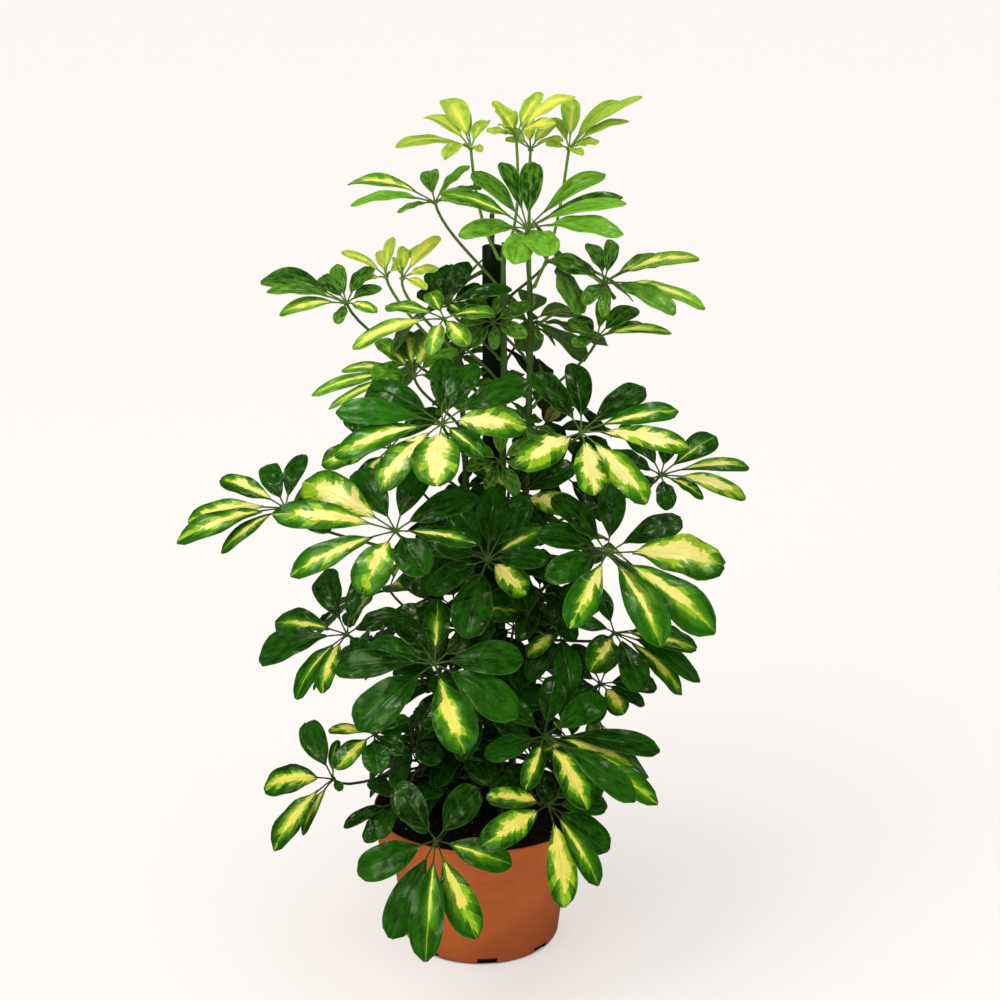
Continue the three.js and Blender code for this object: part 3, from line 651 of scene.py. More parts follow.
@dataclass(frozen=True)
class CaneFinish:
    """Weathered brown cane with upright fibres."""

    name: str = "cane_skin"
    brown: Colour = srgb(72, 52, 32)
    straw: Colour = srgb(118, 92, 58)

    def make(self) -> bpy.types.Material:
        """Builds the material.

        Returns:
            The material.
        """
        f = Finish(self.name)
        fibre = f.cloud(f.stretched(f.place(), (900.0, 900.0, 20.0)), 1.0, 4.0)
        skin = f.mix(f.fit(fibre, 0.4, 0.7, 0.0, 1.0), self.brown, self.straw)
        f.set(Base_Color=skin, Roughness=0.7, Normal=f.bump(fibre, 0.0005, 0.8))
        return f.material


@dataclass(frozen=True)
class FloorFinish:
    """Seamless pale studio floor, partly lit from inside, so its shadows stay faint, with a painted shadow
    under the pot.
    """

    name: str = "studio_floor"
    pale: Colour = (0.41, 0.4, 0.395, 1.0)
    dim: Colour = (0.4, 0.39, 0.385, 1.0)
    glow: Colour = (1.0, 0.955, 0.92, 1.0)
    glow_strength: float = 0.56
    shade: Colour = (0.012, 0.009, 0.007, 1.0)
    painted_shadow_inside: float = 0.091
    bright_outside: float = 0.096

    def make(self) -> bpy.types.Material:
        """Builds the material.

        Returns:
            The material.
        """
        f = Finish(self.name)
        place = f.place()
        paper = f.cloud(place, 160.0, 2.0)
        x, y, _ = f.parts(place)
        far = f.off_axis(x, y)
        # Painted shadow: under the pot's foot the glow fades out and the floor is painted near black.
        glow = f.fit(far, self.painted_shadow_inside, self.bright_outside, 0.0, self.glow_strength)
        plain = f.mix(f.fit(paper, 0.3, 0.7, 0.0, 1.0), self.pale, self.dim)
        under = f.fit(far, self.painted_shadow_inside - 0.001, self.painted_shadow_inside + 0.001, 1.0, 0.0)
        f.set(Base_Color=f.mix(under, plain, self.shade), Roughness=0.9, Specular_IOR_Level=0.1)
        f.set(Emission_Color=self.glow, Emission_Strength=glow)
        return f.material


class Growth(Enum):
    """How old a leaf is, which sets its colours."""

    MATURE = "mature"
    BRIGHT = "bright"
    YOUNG = "young"


BLADE_FINISHES = {
    Growth.MATURE: BladeFinish(
        "leaf_skin", deep=srgb(2, 23, 0), green=srgb(34, 104, 7), fresh=srgb(86, 152, 20),
        lime=srgb(168, 198, 34), cream=srgb(242, 230, 148), edge=srgb(88, 138, 46), rib=srgb(88, 140, 44)),
    Growth.BRIGHT: BladeFinish(
        "bright_leaf_skin", deep=srgb(8, 52, 3), green=srgb(120, 188, 46), fresh=srgb(134, 194, 52),
        lime=srgb(182, 210, 52), cream=srgb(236, 230, 118), edge=srgb(160, 204, 96),
        rib=srgb(158, 204, 90)),
    Growth.YOUNG: BladeFinish(
        "young_leaf_skin", deep=srgb(108, 158, 24), green=srgb(192, 214, 74), fresh=srgb(202, 218, 84),
        lime=srgb(212, 218, 74), cream=srgb(232, 222, 84), edge=srgb(206, 220, 120),
        rib=srgb(206, 220, 116), roughness=0.4, coat=0.04),
}
UNDER_FINISHES = {
    Growth.MATURE: UndersideFinish(
        "leaf_underside", green=srgb(16, 42, 8), light=srgb(52, 86, 26), pale=srgb(172, 178, 84)),
    Growth.BRIGHT: UndersideFinish(
        "bright_leaf_underside", green=srgb(64, 112, 36), light=srgb(118, 166, 66),
        pale=srgb(180, 198, 92)),
    Growth.YOUNG: UndersideFinish(
        "young_leaf_underside", green=srgb(122, 158, 62), light=srgb(164, 190, 88),
        pale=srgb(208, 212, 108)),
}
LEAF_STALK = StalkFinish("leaf_stalk_skin", srgb(34, 50, 14), srgb(74, 108, 30), srgb(104, 122, 52))
YOUNG_STALK = StalkFinish("young_stalk_skin", srgb(70, 104, 32), srgb(98, 140, 44), srgb(140, 160, 78))
STEM_SKIN = StalkFinish("stem_skin", srgb(38, 44, 16), srgb(64, 96, 28), srgb(100, 106, 58), roughness=0.5)


class Shop:
    """Makes each material once and hands it to every piece that uses it."""

    def __init__(self) -> None:
        """Starts with no materials."""
        self.made: dict[str, bpy.types.Material] = {}

    def material(self, finish: object) -> bpy.types.Material:
        """Makes a finish's material on its first use.

        Args:
            finish: The finish.

        Returns:
            Its material.
        """
        if finish.name not in self.made:
            self.made[finish.name] = finish.make()
        return self.made[finish.name]


class Piece:
    """A mesh piece while it is modelled, in millimetres in the row frame."""

    def __init__(self, name: str) -> None:
        """Starts an empty piece with the attributes that the leaf finishes read.

        Args:
            name: The piece's name.
        """
        self.name = name
        self.mesh = bmesh.new()
        self.place = self.mesh.verts.layers.float_vector.new("place")
        self.traits = self.mesh.verts.layers.float_vector.new("traits")

    @staticmethod
    def frame_at(at: Vector, along: Vector, side: Vector) -> Matrix:
        """Stands a ring square to a path.

        Args:
            at: The ring's middle.
            along: The path's direction there.
            side: A direction across it.

        Returns:
            The ring's matrix.
        """
        across = along.cross(side).normalized()
        turned = Matrix((side, across, along)).transposed().to_4x4()
        return Matrix.Translation(at) @ turned

    def tube(self, path: Sequence[Vector], radii: Sequence[float], sides: int, slot: int = 0,
             first: Vector | None = None) -> list[bmesh.types.BMVert]:
        """Grows a closed round tube along a path by extruding a ring.

        Args:
            path: Centre points.
            radii: Radius at each point.
            sides: Corners of the ring.
            slot: Material slot of its faces.
            first: Direction of the tube at its start.

        Returns:
            The tube's corners.
        """
        bm = self.mesh
        last = len(path) - 1
        ways = [(path[min(i + 1, last)] - path[max(i - 1, 0)]).normalized() for i in range(last + 1)]
        if first is not None:
            ways[0] = first.normalized()
        side = ways[0].orthogonal().normalized()
        old = self.frame_at(path[0], ways[0], side)
        circle = bmesh.ops.create_circle(bm, cap_ends=True, segments=sides, radius=radii[0], matrix=old)
        ring = circle["verts"]
        made = list(ring)
        faces = {face for vert in ring for face in vert.link_faces}
        edges = list({edge for vert in ring for edge in vert.link_edges})
        for i in range(1, len(path)):
            side = (side - ways[i] * side.dot(ways[i])).normalized()
            new = self.frame_at(path[i], ways[i], side)
            grown = bmesh.ops.extrude_edge_only(bm, edges=edges)["geom"]
            ring = [part for part in grown if isinstance(part, bmesh.types.BMVert)]
            edges = [part for part in grown if isinstance(part, bmesh.types.BMEdge)]
            faces.update(part for part in grown if isinstance(part, bmesh.types.BMFace))
            share = radii[i] / radii[i - 1]
            move = new @ Matrix.Diagonal((share, share, 1.0, 1.0)) @ old.inverted()
            bmesh.ops.transform(bm, matrix=move, verts=ring)
            made.extend(ring)
            old = new
        faces.update(bmesh.ops.edgeloop_fill(bm, edges=edges)["faces"])
        bmesh.ops.recalc_face_normals(bm, faces=list(faces))
        for face in faces:
            face.material_index = slot
            face.smooth = len(face.verts) == 4
        return made

    def turned(self, profile: Sequence[tuple[float, float]], steps: int,
               at: tuple[float, float] = (0.0, 0.0)) -> None:
        """Spins a profile of (radius, height) points into a closed solid of revolution.

        Args:
            profile: Points from the axis out and back to the axis.
            steps: Steps of the spin.
            at: Where the axis stands.
        """
        bm = self.mesh
        verts = [bm.verts.new((at[0] + radius, at[1], height)) for radius, height in profile]
        edges = [bm.edges.new(pair) for pair in zip(verts, verts[1:])]
        bmesh.ops.spin(bm, geom=verts + edges, cent=(at[0], at[1], 0), axis=(0, 0, 1), angle=2 * math.pi,
                       steps=steps, use_merge=True, use_duplicate=False)
        bmesh.ops.remove_doubles(bm, verts=bm.verts[:], dist=1e-4)
        bmesh.ops.recalc_face_normals(bm, faces=bm.faces[:])
        for face in bm.faces:
            face.smooth = True

    def finish(self, materials: Sequence[bpy.types.Material], slot: str,
               sharp: float = 35.0) -> bpy.types.Object:
        """Turns the modelled mesh into an object in metres that rides on the plant.

        Args:
            materials: Materials in slot order.
            slot: The piece's material slot; not used.
            sharp: Angle in degrees past which an edge stays crisp.

        Returns:
            The finished object.
        """
        bm = self.mesh
        limit = math.radians(sharp)
        for edge in bm.edges:
            if len(edge.link_faces) == 2 and edge.calc_face_angle(0.0) > limit:
                edge.smooth = False
        bmesh.ops.scale(bm, vec=(MM, MM, MM), verts=bm.verts[:])
        data = bpy.data.meshes.new(self.name)
        bm.to_mesh(data)
        bm.free()
        piece = bpy.data.objects.new(self.name, data)
        bpy.context.scene.collection.objects.link(piece)
        for material in materials:
            data.materials.append(material)
        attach(piece, BODY)
        return piece


STEMS: dict[str, list[tuple[float, float, float, float]]] = {
    "stem_right": [(34, -12, 60, 5.2), (40, -16, 250, 5), (48, -15, 425, 4.6), (56, -15, 610, 4.2),
                   (60, -15, 775, 3.8), (59, -15, 858, 2.8)],
    "stem_front": [(24, -24, 60, 5), (26, -22, 300, 4.6), (28, -20, 640, 4.2), (29, -20, 774, 4),
                   (28, -20, 900, 2.8)],
    "stem_left": [(-4, -8, 60, 5.2), (-8, -8, 250, 4.8), (-12, -6, 450, 4.4), (-17, -4, 620, 4),
                  (-24, -2, 770, 2.8)],
    "stem_back": [(18, 24, 60, 5.2), (20, 26, 300, 4.8), (22, 28, 600, 4.2), (20, 32, 840, 2.8)],
}


@dataclass(frozen=True)
class LeafPlan:
    """One compound leaf as the part's source places it, in millimetres and degrees.

    A leaflet is its turn, its length and, where it isn't the usual share of the length, its width.
    The splash string gives each leaflet's cream splash from 0, none, to 9, most of the blade. The
    tones string gives how light its green is, from 0 to 9; these tones, with the leaf's own tone, are
    partly painted light and shade: higher where a leaflet catches a sheen, lower where it lies in shade.
    """

    name: str
    stem: str
    root: float
    hub: Point
    facing: tuple[float, float]
    lift: float
    leaflets: tuple[tuple[float, ...], ...]
    splash: str = ""
    growth: Growth = Growth.MATURE
    tone: float = 0.3
    tones: str = ""


P, M, Y, B = LeafPlan, Growth.MATURE, Growth.YOUNG, Growth.BRIGHT
LEAVES = (
    P("star_left", "stem_left", 640, (-40, -190, 730), (-10, 45), 0,
      ((-145, 105, 36), (-112, 125, 35), (-90, 120, 34), (-64, 100, 35), (-6, 85, 28), (22, 80, 30),
       (56, 110, 34), (88, 95, 37), (127, 65, 26), (176, 84, 53)), "9600000639", M, 0.55, "6883213455"),
    P("star_right", "stem_right", 640, (115, -190, 720), (15, 45), 0,
      ((-115, 90, 37), (-28, 90, 30), (6, 90, 30), (58, 100, 30), (82, 120, 26), (104, 125, 30),
       (151, 110, 36), (180, 75, 38)), "60006969", M, 0.5, "41126685"),
    P("front_left", "stem_left", 520, (-93, -200, 607), (-15, 45), 0,
      ((-67, 133, 49), (-90, 143, 36), (-122, 129, 35), (-166, 84, 45), (140, 68, 41), (95, 96, 22),
       (-38, 95), (10, 90, 36), (58, 100, 34)), "866405000", M, 0.4, "546422211"),
    P("front_right", "stem_right", 500, (145, -200, 580), (15, 50), 0,
      ((103, 136, 55), (140, 152, 54), (168, 136, 44), (-145, 110, 36), (-109, 81, 35), (-64, 82, 35),
       (-32, 90, 33), (18, 95, 32), (70, 105, 32)), "856600000", M, 0.4, "366521111"),
    P("front_middle", "stem_front", 480, (10, -150, 555), (0, 45), 0,
      ((-164, 101, 46), (134, 62, 35), (-118, 80), (-75, 75), (-30, 85), (4, 95, 34), (32, 90), (60, 80),
       (95, 70)), "060000020"),
    P("front_low", "stem_left", 330, (-50, -210, 450), (-5, 45), 0,
      ((-137, 117, 48), (160, 115, 47), (121, 116, 45), (88, 103, 42), (-96, 116, 35), (-74, 85), (-40, 75),
       (0, 80), (50, 85)), "060000020", M, 0.3, "455332111"),
    P("low_right", "stem_right", 270, (75, -210, 360), (15, 45), 0,
      ((104, 138, 31), (112, 112, 21), (130, 152, 32), (138, 130, 35), (162, 99, 36), (-152, 70, 25),
       (-102, 75, 28), (-40, 75), (20, 80), (66, 90)), "0760650000"),
    P("low_right_rim", "stem_right", 230, (80, -235, 285), (20, 40), 0,
      ((-73, 74, 26), (-111, 98, 36), (-176, 120, 35), (163, 110, 30), (139, 87, 37), (62, 66),
       (100, 72)), "7683000"),
    P("low_front_rim", "stem_front", 215, (-50, -235, 240), (-5, 35), 0,
      ((-39, 81, 38), (38, 78, 39), (-114, 98, 39), (-158, 123, 43), (-180, 142, 38), (155, 122, 40),
       (105, 93, 36)), "0000252", M, 0.35, "2343444"),
    P("top_bright", "stem_right", 830, (55, -110, 934), (5, 55), 0,
      ((-97, 78, 27), (-59, 110, 25), (-33, 106, 24), (-12, 108, 20), (8, 95, 26), (49, 128, 23),
       (67, 122, 20), (78, 116, 18), (95, 108, 28), (-160, 56, 34),
       (160, 60, 38)), "02000000000", B, 0.6, "53110406667"),
    P("crown_far_left", "stem_front", 880, (-9, -20, 1009), (-20, 78), 13,
      ((-131, 92, 34), (-59, 84, 22), (-38, 93, 30), (178, 88, 20), (1, 57, 18), (142, 37, 13),
       (-24, 77, 12)), "2130101", Y, 0.4),
    P("crown_left", "stem_front", 890, (43, -10, 1021), (-10, 72), 22,
      ((20, 70, 20), (54, 83, 23), (94, 51, 26), (-120, 38, 19), (-36, 59, 14), (-57, 43, 22),
       (-15, 52, 12), (-150, 40, 16)), "39631323", Y, 0.5),
    P("crown_right", "stem_right", 845, (104, 0, 1005), (20, 70), 18,
      ((56, 98, 20), (73, 111, 14), (80, 81, 15), (101, 36, 18), (20, 84, 22), (-104, 34, 17), (0, 57, 13),
       (180, 35, 16)), "00001000", Y, 0.3),
    P("crown_middle", "stem_right", 850, (60, 25, 1000), (10, 70), 30,
      ((-110, 40, 16), (-50, 45, 16), (0, 50, 18), (55, 50, 18), (120, 45, 16)), "33633", Y, 0.7),
    P("left_high", "stem_front", 845, (-50, -40, 950), (-35, 70), 4,
      ((-89, 126, 26), (-114, 100, 22), (-40, 74, 22), (24, 62, 18), (48, 56, 16), (-140, 45, 14),
       (90, 60, 18)), "6000000", B, 0.4, "5744333"),
    P("right_high", "stem_right", 795, (145, -30, 854), (30, 58), 4,
      ((85, 137, 22), (125, 122, 24), (149, 95, 34), (74, 108, 25), (35, 76, 18), (15, 72, 22),
       (-45, 66, 33), (-125, 56, 18), (-151, 55, 16)), "960200000", B, 0.3, "655321123"),
    P("right_upper", "stem_right", 700, (137, -60, 796), (20, 65), 6,
      ((-25, 40, 22), (-62, 40, 20), (26, 66, 18), (59, 74, 26), (100, 88, 18), (82, 69, 18),
       (-110, 40, 18)), "0000600", B, 0.12),
    P("left_upper", "stem_left", 705, (-155, -20, 827), (-30, 60), 2,
      ((-83, 130, 36), (-98, 102, 18), (-116, 82, 26), (-56, 66, 24), (-36, 60, 20), (4, 63, 24),
       (36, 46, 22), (100, 48, 16), (165, 36, 16)), "006000060", B, 0.2),
    P("young_left", "stem_left", 742, (-110, 10, 852), (-30, 68), 12,
      ((-89, 62, 14), (-35, 48, 14), (-14, 55, 14), (27, 50, 16), (44, 72, 16), (100, 36, 14),
       (-140, 36, 14)), "6333033", Y, 0.6),
    P("young_right", "stem_left", 762, (-90, -15, 856), (20, 60), 16,
      ((-40, 40, 14), (15, 45, 14), (55, 70, 16), (90, 45, 14), (150, 40, 14)), "33633", Y, 0.6),
    P("dark_upper_left", "stem_front", 760, (-36, -30, 828), (-10, 55), 12,
      ((-75, 40, 22), (-40, 46, 22), (-6, 54, 30), (22, 56, 26), (62, 46, 22), (87, 82, 20), (112, 44, 16),
       (150, 50, 24)), "00000003", M, 0.1),
    P("inner_left", "stem_front", 730, (-40, -75, 822), (-25, 60), 0,
      ((-125, 110, 28), (-85, 80, 20), (-40, 55), (75, 60), (130, 60), (172, 60)), "933366", B, 0.25),
    P("left_middle", "stem_left", 670, (-75, -80, 755), (-15, 60), 4,
      ((-92, 86, 18), (-114, 120, 22), (-130, 108, 14), (-48, 75, 22), (-20, 75, 20), (10, 70, 24),
       (45, 60), (95, 60), (-150, 60, 24), (-122, 56, 36)), "6663690030", B, 0.05, "4321132111"),
    P("far_right", "stem_right", 530, (214, -60, 629), (25, 50), 0,
      ((93, 118, 21), (116, 106, 26), (129, 58, 18), (66, 103, 32), (-167, 49, 26), (-110, 60), (-60, 70),
       (-15, 80), (30, 70)), "564100000", M, 0.5, "776332222"),
    P("far_left", "stem_left", 470, (-230, -60, 588), (-20, 50), 0,
      ((-73, 100, 26), (-106, 121, 32), (-124, 134, 31), (-139, 92, 21), (-38, 72, 29), (0, 77, 25),
       (50, 70), (110, 70)), "67650000", M, 0.4, "55543322"),
    P("left_low", "stem_left", 380, (-156, -120, 451), (-40, 45), 0,
      ((-49, 107, 39), (-96, 111, 36), (-126, 114, 43), (-166, 96, 32), (167, 82, 28), (-10, 85, 30),
       (55, 75), (110, 70)), "04025000", M, 0.25),
    P("right_low_inner", "stem_right", 370, (95, -80, 440), (0, 50), 0,
      ((-150, 75), (-139, 59, 21), (-60, 70), (-5, 65), (50, 70), (170, 80)), "060000"),
    P("right_low_outer", "stem_right", 390, (159, -120, 453), (35, 50), 0,
      ((-125, 70, 33), (-171, 81, 40), (139, 117, 30), (150, 108, 27), (128, 99, 31), (107, 96, 21),
       (-60, 60), (0, 70), (-110, 50, 22)), "600560000"),
    P("right_low", "stem_right", 310, (144, -110, 384), (30, 50), 0,
      ((132, 59, 19), (114, 68, 29), (-112, 67, 31), (161, 45, 35), (-141, 57, 31), (-100, 70), (-50, 60),
       (-10, 60), (40, 65)), "000500000"),
    P("low_left", "stem_left", 225, (-177, -110, 260), (-30, 50), 0,
      ((-107, 91, 40), (-162, 111, 33), (-172, 76, 15), (-47, 95, 34), (-21, 54, 15),
       (121, 21, 11)), "865010"),
    P("low_left_inner", "stem_left", 290, (-124, -140, 332), (-20, 60), 0,
      ((-95, 59, 16), (-155, 64, 29), (158, 58, 33), (72, 34, 21), (-50, 45, 18), (0, 50), (60, 45),
       (120, 55)), "65000000", M, 0.25),
    P("low_left_rim", "stem_left", 215, (-100, -95, 221), (-25, 55), 0,
      ((-130, 72, 19), (-163, 63, 27), (-60, 60), (60, 60), (120, 60), (176, 60)), "000000", M, 0.2),
    P("inner_middle", "stem_right", 540, (42, -50, 598), (0, 45), 0,
      ((-150, 75), (-100, 80), (-45, 75), (10, 75), (60, 85), (105, 80), (155, 70)), "0030060", M, 0.15),
    P("inner_right", "stem_back", 520, (100, 35, 600), (20, 45), 0,
      ((-140, 75), (-90, 80), (-40, 75), (5, 75), (55, 80), (100, 85), (150, 80)), "0000060", M, 0.15),
    P("inner_upper_left", "stem_left", 590, (-105, -50, 660), (-20, 45), 0,
      ((-160, 75), (-110, 85), (-60, 80), (-10, 75), (40, 75), (90, 80), (140, 75)), "3600000", M, 0.2),
    P("inner_low_left", "stem_front", 395, (-30, -70, 465), (-10, 45), 0,
      ((-160, 80), (-110, 85), (-60, 80), (-10, 75), (40, 75), (90, 80), (140, 80)), "0000030", M, 0.15),
    P("inner_low_right", "stem_right", 420, (72, -60, 480), (10, 50), 0,
      ((-150, 70), (-100, 70), (-50, 75), (0, 70), (50, 70), (100, 75), (155, 75)), "0000000", M, 0.15),
    P("inner_foot", "stem_front", 290, (5, -85, 350), (0, 45), 0,
      ((-160, 80), (-110, 80), (-60, 75), (-10, 75), (40, 75), (90, 80), (140, 80)), "0000000", M, 0.15),
)


@dataclass(frozen=True)
class Star:
    """Directions of a leaf's star: out of its face, up its slope, and to the right across it."""

    out: Vector
    up: Vector
    right: Vector

    @classmethod
    def facing(cls, turn: float, tilt: float) -> "Star":
        """Builds the directions of a star.

        Args:
            turn: Turn from the front, in degrees.
            tilt: Tilt up, in degrees.

        Returns:
            The star's directions.
        """
        a, e = math.radians(turn), math.radians(tilt)
        out = Vector((math.sin(a) * math.cos(e), -math.cos(a) * math.cos(e), math.sin(e)))
        up = (Vector((0, 0, 1)) - out * out.z).normalized()
        return cls(out, up, up.cross(out))


@dataclass(frozen=True)
class Leaflet:
    """One leaflet of a star: its turn and lift in degrees, its length, and what the finish reads."""

    hub: Vector
    star: Star
    turn: float
    lift: float
    length: float
    width: float
    splash: float
    tone: float
    seed: float

    NECK = 0.2
    BOW = 0.09
    DROOP = 0.1
    HALF_THICKNESS = 0.4

    def ways(self) -> tuple[Vector, Vector, Vector]:
        """Works out how the leaflet lies.

        Returns:
            The directions across, along and above it.
        """
        turn, lift = math.radians(self.turn), math.radians(self.lift)
        flat = self.star.up * math.cos(turn) + self.star.right * math.sin(turn)
        across = self.star.right * math.cos(turn) - self.star.up * math.sin(turn)
        along = flat * math.cos(lift) + self.star.out * math.sin(lift)
        above = self.star.out * math.cos(lift) - flat * math.sin(lift)
        return across, along, above

    def centre(self, t: float) -> Vector:
        """Follows the bowed midrib.

        Args:
            t: Share of the length from the hub.

        Returns:
            The midrib's point there.
        """
        _, along, above = self.ways()
        bow = self.length * (4 * self.BOW * t * (1 - t) - self.DROOP * t * t + self.DROOP * t)
        return self.hub + along * self.length * t + above * bow

    def face(self, t: float) -> Vector:
        """Finds which way the blade faces.

        Args:
            t: Share of the length from the hub.

        Returns:
            The direction square to the blade there.
        """
        _, along, above = self.ways()
        slope = 4 * self.BOW * (1 - 2 * t) - 2 * self.DROOP * t + self.DROOP
        return (above - along * slope).normalized()

    def tips(self) -> tuple[Vector, Vector]:
        """Returns the two corners of the solid leaflet's tip."""
        end, face = self.centre(1.0), self.face(1.0)
        return end + face * self.HALF_THICKNESS, end - face * self.HALF_THICKNESS


class SolidCorners:
    """The corners of a CAD node, in millimetres, for finding where its leaflets ended up."""

    CLOSE = 0.3

    def __init__(self, node: bpy.types.Object) -> None:
        """Keeps the node's corners in a search tree.

        Args:
            node: The CAD node.
        """
        self.tree = kdtree.KDTree(len(node.data.vertices))
        for i, vert in enumerate(node.data.vertices):
            self.tree.insert(vert.co / MM, i)
        self.tree.balance()

    def has(self, point: Vector) -> bool:
        """Says whether a corner lies at a point."""
        return self.tree.find(point)[2] < self.CLOSE


@dataclass
class CompoundLeaf:
    """A long stalk, a hub and the leaflets that radiate from it, grown as one piece."""

    plan: LeafPlan
    corners: SolidCorners | None
    seed: int
    leaflets: list[Leaflet] = field(default_factory=list)

    TRIES = ((0, 0, 1), (7, 0, 1), (-7, 0, 1), (14, 0, 1), (-14, 0, 1), (7, 6, 1), (7, -6, 1), (-7, 6, 1),
             (-7, -6, 1), (21, 0, 0.95), (-21, 0, 0.95), (14, 8, 0.9), (14, -8, 0.9), (-14, 8, 0.9),
             (-14, -8, 0.9), (28, 0, 0.85), (-28, 0, 0.85), (0, 0, 0.75), (14, 0, 0.7), (-14, 0, 0.7),
             (35, 0, 0.7), (-35, 0, 0.7), (0, 0, 0.6))
    WIDTH_SHARE = 0.38
    LONG_BLADE = 100
    OUTLINE = ((0.0, 0.06), (0.08, 0.19), (0.2, 0.44), (0.36, 0.74), (0.52, 0.94), (0.66, 1.0),
               (0.78, 0.96), (0.88, 0.8), (0.95, 0.56), (0.985, 0.32), (1.0, 0.12))
    ROUND_OUTLINE = ((0.0, 0.07), (0.07, 0.24), (0.18, 0.52), (0.34, 0.82), (0.5, 0.98), (0.64, 1.0),
                     (0.77, 0.95), (0.87, 0.8), (0.94, 0.6), (0.985, 0.36), (1.0, 0.16))
    BLADE_ROWS = 13
    BLADE_COLUMNS = 6
    THICKNESS = 0.6
    FOLD = 0.16
    YOUNG_FOLD = 1.5
    CURL = 0.1
    RIPPLE = 0.08
    RIPPLE_LAG = 1.2
    UNEVEN = 0.08
    HOOK = 0.09
    SWEEP = 0.05
    ROW_SHIFT = 0.045
    STALK_RADIUS = 1.7
    STALK_FOOT_RADIUS = 2.5
    STALK_SIDES = 8
    STALK_STEPS = 11
    NECK_RADIUS = 1.15
    HUB_RADIUS = 4.2
    HUB_SHARE = 0.85
    HUB_HEIGHT = 3.6

    def __post_init__(self) -> None:
        """Finds each leaflet's place on the solid."""
        self.star = Star.facing(*self.plan.facing)
        self.hub = Vector(self.plan.hub)
        draws = Draws(self.seed)
        for i, wish in enumerate(self.plan.leaflets):
            splash = int(self.plan.splash[i]) / 9 if self.plan.splash else self.rear_splash(draws)
            tone = int(self.plan.tones[i]) / 9 if self.plan.tones else self.plan.tone
            tone = min(max(tone + draws.between(-0.16, 0.16), 0.0), 1.0)
            width = wish[2] if len(wish) > 2 else wish[1] * self.WIDTH_SHARE
            asked = Leaflet(self.hub, self.star, wish[0], self.plan.lift, wish[1], width, splash, tone,
                            draws.between(0.02, 0.98))
            found = self.settled(asked)
            if found is not None:
                self.leaflets.append(found)

    @staticmethod
    def rear_splash(draws: Draws) -> float:
        """Returns how much splash an unseen leaflet gets."""
        share = draws.next()
        return 0.0 if share < 0.5 else (share - 0.4) / 0.6

    def settled(self, asked: Leaflet) -> Leaflet | None:
        """Finds which of the source's tries the solid's leaflet took.

        Args:
            asked: The leaflet as the plan asks for it.

        Returns:
            The leaflet where the solid has it, or None where it was left out.
        """
        if self.corners is None:
            return asked
        for lift, more, share in self.TRIES:
            leaflet = replace(asked, turn=asked.turn + more, lift=asked.lift + lift,
                              length=asked.length * share, width=asked.width * share)
            if all(self.corners.has(tip) for tip in leaflet.tips()):
                return leaflet
        return None

    def stem_at(self, height: float) -> tuple[Vector, float]:
        """Looks up the leaf's stem.

        Args:
            height: Height over the floor.

        Returns:
            The stem's centre and radius there.
        """
        points = STEMS[self.plan.stem]
        i = next((k for k in range(1, len(points)) if points[k][2] >= height), len(points) - 1)
        low, high = Vector(points[i - 1]), Vector(points[i])
        spot = low + (high - low) * ((height - low[2]) / (high[2] - low[2]))
        return Vector(spot[:3]), spot[3]

    def stalk(self) -> tuple[list[Vector], Vector]:
        """Bends the stalk from its stem to its hub.

        Returns:
            The stalk's path, and the way it leaves the stem.
        """
        spot, radius = self.stem_at(self.plan.root)
        outward = Vector((self.hub.x - spot.x, self.hub.y - spot.y, 0)).normalized()
        start = spot + outward * (radius + 0.4)
        far = (self.hub - start).length
        second = start + (outward * 0.6 + Vector((0, 0, 0.8))) * 0.3 * far
        third = self.hub - self.star.out * 0.28 * far
        path = [start - outward * 2.0, start + outward * 2.5 + Vector((0, 0, 1.2))]
        for i in range(1, self.STALK_STEPS + 1):
            t = i / self.STALK_STEPS
            s = 1 - t
            path.append(start * s**3 + second * 3 * s * s * t + third * 3 * s * t * t + self.hub * t**3)
        return path, outward

    def blade(self, piece: Piece, leaflet: Leaflet) -> None:
        """Adds one leaflet's blade, a shaped and thickened grid.

        Args:
            piece: The leaf's piece.
            leaflet: The leaflet.
        """
        bm = piece.mesh
        across, _, _ = leaflet.ways()
        draws = Draws(int(leaflet.seed * 1e6) + 11)
        outline = self.OUTLINE if leaflet.length > self.LONG_BLADE else self.ROUND_OUTLINE
        blade = 1 - Leaflet.NECK
        width = leaflet.width / 2 * draws.between(0.97, 1.06)
        uneven = draws.between(-self.UNEVEN, self.UNEVEN)
        fold = self.FOLD * draws.between(0.3, 1.7)
        fold *= self.YOUNG_FOLD if self.plan.growth is Growth.YOUNG else 1.0
        phase, waves = draws.between(0.0, 6.28), draws.between(1.2, 2.8)
        ripple = self.RIPPLE * draws.between(0.5, 1.6)
        hook = draws.between(-self.HOOK, self.HOOK)
        columns, rows = self.BLADE_COLUMNS, self.BLADE_ROWS
        verts = bmesh.ops.create_grid(bm, x_segments=columns, y_segments=rows, size=0.5)["verts"]
        for vert in verts:
            u, v = vert.co.x * 2, vert.co.y + 0.5
            v -= self.ROW_SHIFT * math.sin(math.pi * v) * math.sin(2 * math.pi * v)
            back = self.SWEEP * u * u * math.sin(math.pi * min(v, 1.0))
            t = Leaflet.NECK + blade * v - back * blade
            half = width * through(outline, v) * (1 + uneven * (1 if u > 0 else -1))
            face = leaflet.face(t)
            rise = half * (fold * abs(u) - self.CURL * u**4)
            lag = self.RIPPLE_LAG if u > 0 else 0.0
            rise += width * ripple * u * u * math.sin(phase + waves * 2 * math.pi * v + lag)
            bend = width * hook * v * v * 2
            vert.co = leaflet.centre(t) + across * (u * half + bend) + face * rise
            vert[piece.place] = Vector((u, v, half))
            vert[piece.traits] = Vector((leaflet.splash, leaflet.tone, leaflet.seed))
        faces = list({face for vert in verts for face in vert.link_faces})
        for face in faces:
            face.smooth = True
        shell = bmesh.ops.solidify(bm, geom=faces, thickness=self.THICKNESS)["geom"]
        for face in shell:
            if isinstance(face, bmesh.types.BMFace):
                face.smooth = True
                face.material_index = 1

